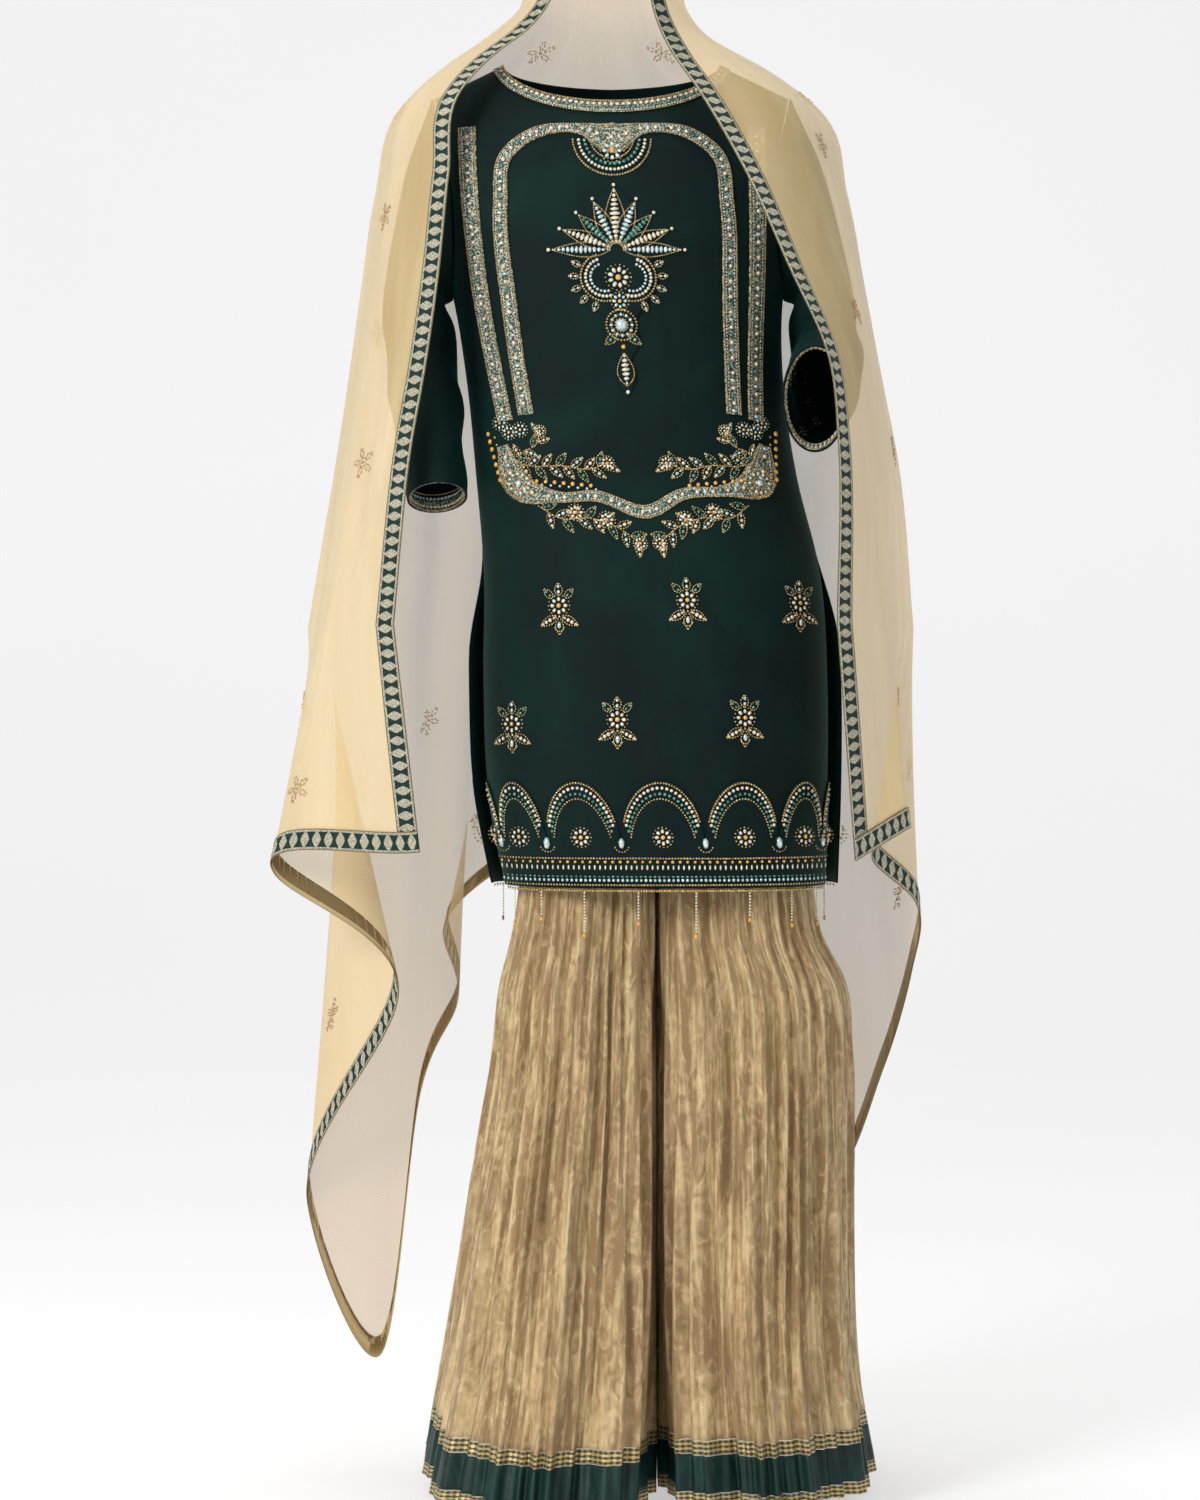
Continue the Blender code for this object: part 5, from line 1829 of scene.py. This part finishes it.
    def neck_ground(self, side: Side, ground: bpy.types.Material) -> None:
        """The neck border's ground."""
        lines = np.array([self.neck_line(side, offset, self.neck_points[0]) for offset in self.neck_lines])
        x, z = lines[..., 0] * -side.value, lines[..., 1]
        word = side.name.lower()
        self.shell("neck_ground_" + word, side, x, z, ground, "neck_border_" + word)

    def stitch_neck(self, work: Embroidery, side: Side) -> None:
        """Rows of beads round the neck."""
        for offset, stone, *row in self.neck_rows:
            work.line(stone, self.neck_line(side, offset, self.neck_points[1]), *row)

    def hem_x(self, side: Side, place: Numbers, z: Numbers) -> Numbers:
        """Distance from the centre line at a share of the hem, 0 at the viewer's left."""
        turn = (pi - self.hem_margin) * (place - 0.5)
        return self.form.half(side, z) * np.sin(turn)

    def arch_top(self, place: Numbers) -> Numbers:
        """Height of the arches above the straight band."""
        phase = (place * self.arches + 0.5) % 1.0
        crest = np.sqrt(np.clip(1 - (2 * phase - 1) ** 2, 0, 1))
        return self.arch_foot + (self.arch_height - self.arch_foot) * crest

    def hem_ground(self, side: Side, ground: bpy.types.Material) -> None:
        """The scalloped hem border's ground."""
        across, rows, band_rows = self.arch_grid
        places = np.linspace(0, 1, self.arches * across + 1)
        bottom = self.form.hem_z + self.hem_lift
        shares = np.linspace(1, 0, rows)[:, None]
        arch = bottom + self.hem_band + self.arch_top(places) * shares
        band = bottom + self.hem_band * np.linspace(1, 0, band_rows)[1:, None] + places * 0
        z = np.vstack([arch, band])
        x = self.hem_x(side, places, z)
        word = side.name.lower()
        self.shell("hem_ground_" + word, side, -side.value * x, z, ground, "hem_border_" + word)

    def stitch_hem(self, work: Embroidery, side: Side) -> None:
        """Rows along the hem, arches filled with rays, and drops between them."""
        bottom = self.form.hem_z + self.hem_lift
        top = bottom + self.hem_band
        places = np.linspace(self.hem_end, 1 - self.hem_end, self.hem_points)
        for up, stone, *row in self.hem_rows:
            z = bottom + up
            line = np.stack([self.hem_x(side, places, z), places * 0 + z], axis=1)
            work.line(stone, line, *row)
        for k in range(self.arches + 1):
            middle = k / self.arches
            at = (k + np.linspace(-self.arch_reach, self.arch_reach, self.arch_points)) / self.arches
            at = at[(at > self.hem_end) & (at < 1 - self.hem_end)]
            for inset, stone, pitch, size in self.arch_rings:
                high = self.arch_top(at) - inset
                keep = high > self.arch_foot * self.arch_low
                z = top + high[keep]
                near = middle + (at[keep] - middle) * (1 - inset * self.arch_narrowing)
                if keep.sum() > 2:
                    work.line(stone, np.stack([self.hem_x(side, near, z), z], axis=1), pitch, size)
            z = top + self.arch_flower[0]
            place = min(max(middle, self.arch_flower_end), 1 - self.arch_flower_end)
            work.flower(float(self.hem_x(side, place, z)), z, self.arch_flower[1], 8)
            if k < self.arches:
                z = top + self.arch_drop
                work.drop(float(self.hem_x(side, (k + 0.5) / self.arches, z)), z, self.arch_drop)

    def build_fringe(self, side: Side, finishes: dict[Stone, bpy.types.Material]) -> None:
        """The piping along the hem and the bead strings that hang from it."""
        hem = self.form.hem_z
        half = float(self.form.half(side, hem))

        def below(x: np.ndarray, z: np.ndarray) -> Frame:
            """Frames straight under the hem line."""
            level = np.full_like(x, hem)
            points = self.form.points(side, x * -side.value, level)
            points[:, 2] = z
            normals = self.form.normals(side, x * -side.value, level)
            normals[:, 2] = 0
            up = np.zeros_like(points) + (0, 0, 1)
            return points, normals, np.cross(up, normals), up

        work = Embroidery(below, self.fringe_lift)
        span = pi - 2 * self.strand_margin
        reach = pi / 2 - self.cord_end
        turns = np.linspace(-reach, reach, self.cord_points)
        cord = np.stack([half * np.sin(turns), turns * 0 + hem - self.cord_drop], axis=1)
        work.line(Stone.GOLD, cord, *self.cord_row)
        for k, length in enumerate(self.strand_lengths):
            x = half * sin(span * ((k + 0.5) / len(self.strand_lengths) - 0.5)) * -side.value
            z = hem - self.cord_drop * 2
            while z > hem - length:
                work.bead(Stone.PEARL, x, z, *self.strand_bead, pi / 2)
                z -= self.strand_pitch
            drop, *size = self.strand_end
            work.bead(Stone.AMBER, x, z - drop, *size, pi / 2)
        pieces = work.build(side.name.lower() + "_fringe", finishes)
        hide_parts("hem_fringe_" + side.name.lower())

    def build_cuffs(self, finishes: dict[Stone, bpy.types.Material], ground: bpy.types.Material) -> None:
        """Beaded borders round the cuffs and a faint vine up each sleeve."""
        for hand in Hand:
            word = hand.name.lower()
            sleeve = self.sleeves.grid(hand, self.form)
            closed = np.concatenate([sleeve, sleeve[:, :1]], axis=1)
            ring = closed[-self.cuff_rings :]
            grid = (ring + grid_normals(ring) * (self.lift + self.trim))[:, :-1]
            cuff = sheet_mesh("cuff_ground_" + word, grid, metre_uvs(grid, wrap=True), wrap=True)
            thicken(cuff, self.trim)
            dress(cuff, ground, "beadwork", "cuff_" + word)
            work = Embroidery(grid_surface(closed), self.lift + self.trim)
            around = run_lengths(closed[closed.shape[0] // 2])[-1]
            round_places = np.linspace(0, around, self.cuff_points)
            for up, stone, *row in self.cuff_rows:
                work.line(stone, [(x, up) for x in round_places], *row)
            work.build(word + "_cuff", finishes)
            self.build_sleeve_vines(word, closed, around, finishes)

    def build_sleeve_vines(
        self, word: str, sleeve: np.ndarray, around: float, finishes: dict[Stone, bpy.types.Material]
    ) -> None:
        """Faint vines of thread up one sleeve.

        Args:
            word: left or right.
            sleeve: the sleeve's outer face, with its first column again at the end.
            around: the length round it.
            finishes: a material for each stone.
        """
        work = Embroidery(grid_surface(sleeve))
        sway, rate = self.vine_sway
        radius, petals, *petal = self.vine_flower
        for k in range(self.vines):
            middle = around * (k + 0.5) / self.vines
            heights = np.linspace(*self.vine_ends, self.vine_points)
            work.line(Stone.GOLD, [(middle + sway * sin(z * rate + k), z) for z in heights], *self.vine_row)
            for z in np.arange(*self.vine_flowers):
                x = middle + sway * sin(z * rate + k)
                work.arc(Stone.GOLD, x, z, radius, 0, tau, petals, *petal, radial=True)
        work.build(word + "_sleeve_vine", finishes)


@dataclass
class Kameez:
    """The velvet tunic: two body panels and two sleeves."""

    form: KameezForm
    sleeves: SleeveForm
    wall: float = 0.0016
    columns: int = 84
    rows: int = 80
    panel_flat: dict[Side, tuple[float, float]] = field(
        default_factory=lambda: {Side.FRONT: (0.46, 0.87), Side.BACK: (0.48, 0.87)}
    )
    sleeve_flat: tuple[float, float] = (0.36, 0.275)

    def build(self, velvet: bpy.types.Material) -> None:
        """Makes and dresses the four pieces."""
        for side in Side:
            word = side.name.lower()
            grid = self.form.panel(side, self.columns, self.rows)
            panel = sheet_mesh(word + "_panel", grid, metre_uvs(grid))
            thicken(panel, self.wall)
            dress(panel, velvet, "velvet", "kameez_" + word)
        for hand in Hand:
            word = hand.name.lower()
            grid = self.sleeves.grid(hand, self.form)
            sleeve = sheet_mesh(word + "_sleeve", grid, metre_uvs(grid, wrap=True), wrap=True)
            thicken(sleeve, self.wall)
            dress(sleeve, velvet, "velvet", "sleeve_" + word)


@dataclass
class Sharara:
    """The wide legs of crushed tissue, each with lace, satin and lace round its hem, and the hip part.

    Each row of casing is a height, a centre's X, half a width and half a depth.
    """

    form: LegForm
    wall: float = 0.0010
    columns: int = 360
    rows: int = 96
    hip_columns: int = 72
    casing: Sequence[tuple[float, float, float, float]] = (
        (-0.420, 0.0040, 0.1430, 0.1010),
        (-0.448, 0.0055, 0.1448, 0.1026),
        (-0.450, 0.0056, 0.1419, 0.0998),
        (-0.550, 0.0110, 0.1481, 0.1056),
        (-0.660, 0.0170, 0.1550, 0.1120),
    )
    seam: float = 0.0004
    hip_flat: tuple[float, float] = (0.82, 0.24)
    leg_flat: tuple[float, float] = (1.70, 0.74)
    leg_area: float = 0.80
    hem_length: float = 1.65

    def build(self, tissue: bpy.types.Material, satin: bpy.types.Material, lace: bpy.types.Material) -> None:
        """Makes and dresses the hip part and both legs."""
        self.build_hip(tissue)
        top, upper, lower, hem = self.form.edges()
        for hand in Hand:
            word = hand.name.lower()
            runs = (
                ("tissue_leg_", "leg_", self.form.crotch_z, top + self.seam, self.rows, tissue, "tissue"),
                ("top_lace_", "upper_lace_", top, upper + self.seam, 4, lace, "lace"),
                ("hem_satin_", "satin_band_", upper, lower + self.seam, 10, satin, "satin"),
                ("hem_lace_", "lower_lace_", lower, hem, 4, lace, "lace"),
            )
            for name, node, high, low, rows, material, slot in runs:
                grid = self.form.tube(hand, np.linspace(high, low, rows + 1), self.columns)
                uvs = strip_uvs(grid, wrap=True) if slot == "lace" else metre_uvs(grid, wrap=True)
                piece = sheet_mesh(name + word, grid, uvs, wrap=True)
                thicken(piece, self.wall)
                dress(piece, material, slot, node + word)
                if slot == "tissue":
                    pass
                else:
                    high - low

    def build_hip(self, tissue: bpy.types.Material) -> None:
        """The hidden hip part with its waist casing."""
        turns = tau * np.arange(self.hip_columns) / self.hip_columns
        rows = []
        for z, centre, half_width, half_depth in self.casing:
            x, y = centre + half_width * np.cos(turns), half_depth * np.sin(turns)
            rows.append(np.stack([x, y, np.full(self.hip_columns, z)], axis=1))
        grid = np.array(rows)
        hip = sheet_mesh("hip_part", grid, metre_uvs(grid, wrap=True), wrap=True)
        thicken(hip, self.wall)
        dress(hip, tissue, "tissue", "sharara_hip")


@dataclass
class Dupatta:
    """The sheer veil and its two sequined borders."""

    form: DupattaForm
    columns: int = 260
    upper_rows: int = 110
    fall_rows: int = 60
    border_rows: int = 5
    border_wall: float = 0.0008
    lower_lift: float = 0.0018
    folded_share: float = 0.72
    thread_lift: float = 0.0003
    motif_size: float = 0.030
    motif_step: float = 0.01
    motif_turn: float = 0.3
    petals: int = 5
    petal_shares: Sequence[float] = (0.35, 0.62, 0.88)
    petal_leans: Sequence[float] = (-0.28, 0.28)
    petal_bead: tuple[float, float] = (0.0046, 0.0018)
    heart_bead: float = 0.0040
    slope_step: float = 0.004
    motif_places: Sequence[tuple[float, float]] = (
        (-0.86, 0.72), (-0.90, 0.93), (-0.78, 1.30), (-0.86, 1.72), (-0.66, 1.50), (-0.52, 1.30),
        (-0.60, 1.78),
        (0.84, 0.66), (0.88, 0.80), (0.80, 0.92), (0.86, 1.35), (0.78, 1.75), (0.66, 1.45), (0.58, 1.72),
        (-0.70, 0.62), (0.70, 0.60), (-0.60, 0.80), (0.60, 0.82), (-0.35, 0.70), (0.0, 0.64), (0.35, 0.70),
        (-0.18, 0.88), (0.18, 0.88), (-0.38, 1.20), (0.0, 1.30), (0.38, 1.20), (-0.20, 1.65), (0.22, 1.60),
        (-0.55, 0.24), (0.55, 0.24), (0.0, 0.30), (-0.30, 0.46), (0.30, 0.46),
    )
    flat: tuple[float, float] = (1.05, 2.20)
    area: float = 1.30

    def levels(self) -> np.ndarray:
        """Rows from the crown to the lower border's upper edge, as levels."""
        fall = 1 + np.linspace(0, 1, self.fall_rows)[1:-1]
        return np.concatenate([np.linspace(0, 1, self.upper_rows), fall])

    def motif_surface(self, x: np.ndarray, level: np.ndarray) -> Frame:
        """Frames of stitches on the cloth.

        Args:
            x: places between the two face edges, -1 to 1.
            level: their levels, 0 at the crown and 2 at the lower edge.

        Returns:
            Points, outward normals, and the directions to the right and up.
        """
        step = self.slope_step
        points, across, down = [], [], []
        for s, height in zip(x, level):
            here, beside = self.form.points(np.array([s, s - step]), height)
            below = self.form.points(np.array([s]), height + step)[0]
            points.append(here)
            across.append(beside - here)
            down.append(below - here)
        rights = np.array(across) / np.linalg.norm(across, axis=1, keepdims=True)
        normals = np.cross(np.array(down), rights)
        normals /= np.linalg.norm(normals, axis=1, keepdims=True)
        return np.array(points), normals, rights, np.cross(normals, rights)

    def build_motifs(self, finish: bpy.types.Material) -> None:
        """Sparse thread flowers over the net."""
        work = Embroidery(self.motif_surface, self.thread_lift)
        step = self.motif_step
        for s, level in self.motif_places:
            near, here = self.form.points(np.array([s - step, s]), level)
            low = self.form.points(np.array([s]), level - step)[0]
            wide = self.motif_size / 2 * step / np.linalg.norm(near - here)
            tall = self.motif_size / 2 * step / np.linalg.norm(low - here)
            for k in range(self.petals):
                turn = tau * k / self.petals + self.motif_turn + s
                for share, lean in product(self.petal_shares, self.petal_leans):
                    way = turn + lean * sin(pi * share)
                    x = s - wide * share * cos(way)
                    height = level - tall * share * sin(way)
                    work.bead(Stone.GOLD, x, height, *self.petal_bead, turn)
            work.bead(Stone.GOLD, s, level, self.heart_bead)
        work.build("veil_motifs", {Stone.GOLD: finish})

    def build(self, net: bpy.types.Material, border: bpy.types.Material, backing: bpy.types.Material) -> None:
        """Makes and dresses the cloth and the borders."""
        form = self.form
        rows = []
        for level in self.levels():
            ends = form.inner(-1, level), form.inner(1, level)
            rows.append(form.points(np.linspace(*ends, self.columns + 1), level))
        ends = form.inner(-1, 2), form.inner(1, 2)
        for height in (form.border, 0.0):
            places = np.linspace(*ends, self.columns + 1)
            rows.append(form.points(places, form.above_edge(places, height)))
        grid = np.array(rows)[:, ::-1]
        veil = dress(sheet_mesh("veil", grid, metre_uvs(grid)), net, "net", "dupatta_cloth")
        self.build_front_border(border, backing)
        self.build_lower_border(border, backing)

    def build_front_border(self, border: bpy.types.Material, backing: bpy.types.Material) -> None:
        """The border round the face and down both fronts."""
        form = self.form
        runs = []
        for end in (-1, 1):
            run = []
            for level in self.levels():
                run.append(form.points(np.linspace(end, form.inner(end, level), self.border_rows), level))
            places = np.linspace(end, form.inner(end, 2), self.border_rows)
            run.append(form.points(places, form.above_edge(places, 0.0)))
            runs.append(run)
        grid = np.array(runs[0][::-1] + runs[1][1:])
        strip = sheet_mesh("face_border", grid, self.border_uvs(grid))
        self.finish_border(strip, border, backing, "dupatta_front_border")

    def build_lower_border(self, border: bpy.types.Material, backing: bpy.types.Material) -> None:
        """The border along the folded ends and the lower edge."""
        form = self.form
        places = np.linspace(1, -1, self.columns * 2 + 1)
        rows = []
        for height in np.linspace(form.border, 0.0, self.border_rows):
            rows.append(form.points(places, form.above_edge(places, height)))
        grid = np.array(rows)
        grid += grid_normals(grid) * self.lower_lift
        strip = sheet_mesh("end_border", grid, self.border_uvs(grid.transpose(1, 0, 2)).transpose(1, 0, 2))
        self.finish_border(strip, border, backing, "dupatta_lower_border")

    def border_uvs(self, grid: np.ndarray) -> np.ndarray:
        """UVs of a strip whose rows run along it: U in metres, V from 0 to 1 across."""
        middle = grid[:, grid.shape[1] // 2]
        along = np.concatenate([[0], np.cumsum(np.linalg.norm(np.diff(middle, axis=0), axis=1))])
        across = np.linspace(0, 1, grid.shape[1])
        return np.stack(np.meshgrid(along, across, indexing="ij"), axis=-1)

    def finish_border(
        self,
        strip: bpy.types.Object,
        border: bpy.types.Material,
        backing: bpy.types.Material,
        node: str,
    ) -> None:
        """Thickens a border, with the backing cloth on its inner face.

        Args:
            strip: the border's outer face.
            border: finish of the outer face.
            backing: finish of the inner face.
            node: the CAD node that it stands for.
        """
        strip.data.materials.append(border)
        strip.data.materials.append(backing)
        wall = strip.modifiers.new("wall", "SOLIDIFY")
        wall.thickness = self.border_wall
        wall.offset = -1
        wall.material_offset = 1
        bake(strip)
        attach(strip, "root")
        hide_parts(node)


@dataclass
class Studio:
    """Pale sweep, soft lights and the photograph's camera.

    Each row of lights is a name, a place, a size and a power.
    """

    camera_place: tuple[float, float, float] = (-0.042, -4.0, -0.688)
    lens: float = 91.43
    floor_z: float = -1.455
    wall_y: float = 6.0
    bend: float = 1.5
    half_width: float = 8.0
    front_y: float = -6.0
    wall_height: float = 4.5
    bend_steps: int = 16
    aim: tuple[float, float, float] = (0.0, 0.0, -0.6)
    lights: Sequence[tuple[str, tuple[float, float, float], float, float]] = (
        ("key", (-2.6, -3.0, 1.2), 1.4, 120),
        ("fill", (2.6, -3.2, 0.6), 2.6, 12),
        ("top", (0.0, 0.3, 3.0), 1.6, 45),
    )
    world_grey: float = 0.95
    world_strength: float = 0.56

    def build(self) -> None:
        """Adds the sweep, lights, world and camera."""
        points = [(self.front_y, self.floor_z)]
        for turn in np.linspace(0, pi / 2, self.bend_steps):
            y = self.wall_y - self.bend * (1 - sin(turn))
            points.append((y, self.floor_z + self.bend * (1 - cos(turn))))
        points.append((self.wall_y, self.floor_z + self.wall_height))
        sides = (-self.half_width, self.half_width)
        grid = np.array([[(x, y, z) for x in sides] for y, z in points])[::-1]
        sweep = sheet_mesh("studio_sweep", grid, metre_uvs(grid))
        sweep.data.materials.append(self.paper())
        for light in self.lights:
            self.light(*light)
        world = bpy.data.worlds.new("pale_world")
        bpy.context.scene.world = world
        world.use_nodes = True
        background = world.node_tree.nodes["Background"]
        background.inputs["Color"].default_value = (self.world_grey, self.world_grey, self.world_grey, 1.0)
        background.inputs["Strength"].default_value = self.world_strength
        camera = bpy.data.objects.new("camera", bpy.data.cameras.new("camera"))
        camera.data.lens = self.lens
        camera.location = self.camera_place
        camera.rotation_euler = (pi / 2, 0, 0)
        bpy.context.scene.collection.objects.link(camera)
        bpy.context.scene.camera = camera
        bpy.context.scene.view_settings.view_transform = "Standard"

    def paper(self) -> bpy.types.Material:
        """Matt, nearly white paper, faintly uneven."""
        shader = Shader("pale_paper")
        cloud = shader.noise(shader.place(), 0.8, 2.0)
        shader.set(
            Base_Color=shader.mix(cloud, (0.46, 0.46, 0.47), (0.50, 0.50, 0.50)),
            Roughness=0.95,
            Emission_Color=(1.0, 1.0, 1.0),
            Emission_Strength=0.50,
        )
        return shader.material

    def light(self, name: str, place: tuple[float, float, float], size: float, power: float) -> None:
        """Adds a square soft light that faces the middle of the garment.

        Args:
            name: the light's name.
            place: where it stands.
            size: the length of its side.
            power: its power in watts.
        """
        data = bpy.data.lights.new(name, "AREA")
        data.size = size
        data.energy = power
        lamp = bpy.data.objects.new(name, data)
        lamp.location = place
        lamp.rotation_euler = (Vector(self.aim) - Vector(place)).to_track_quat("-Z", "Y").to_euler()
        bpy.context.scene.collection.objects.link(lamp)


def main() -> None:
    """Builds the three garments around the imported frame, then the studio."""
    logging.basicConfig(level=logging.INFO, format="%(message)s")
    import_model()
    form = KameezForm()
    sleeves = SleeveForm()
    velvet = Velvet().material()
    beads = {bead.stone: bead.material() for bead in BEADS}
    Kameez(form, sleeves).build(velvet)
    Beadwork(form, sleeves).build(beads, Zari().material(), velvet)
    Sharara(LegForm()).build(Tissue().material(), Satin().material(), GoldLace().material())
    dupatta = Dupatta(DupattaForm())
    dupatta.build(Net().material(), LensBorder().material(), Lame().material())
    dupatta.build_motifs(VeilThread().material())
    Studio().build()


if __name__ == "__main__":
    main()
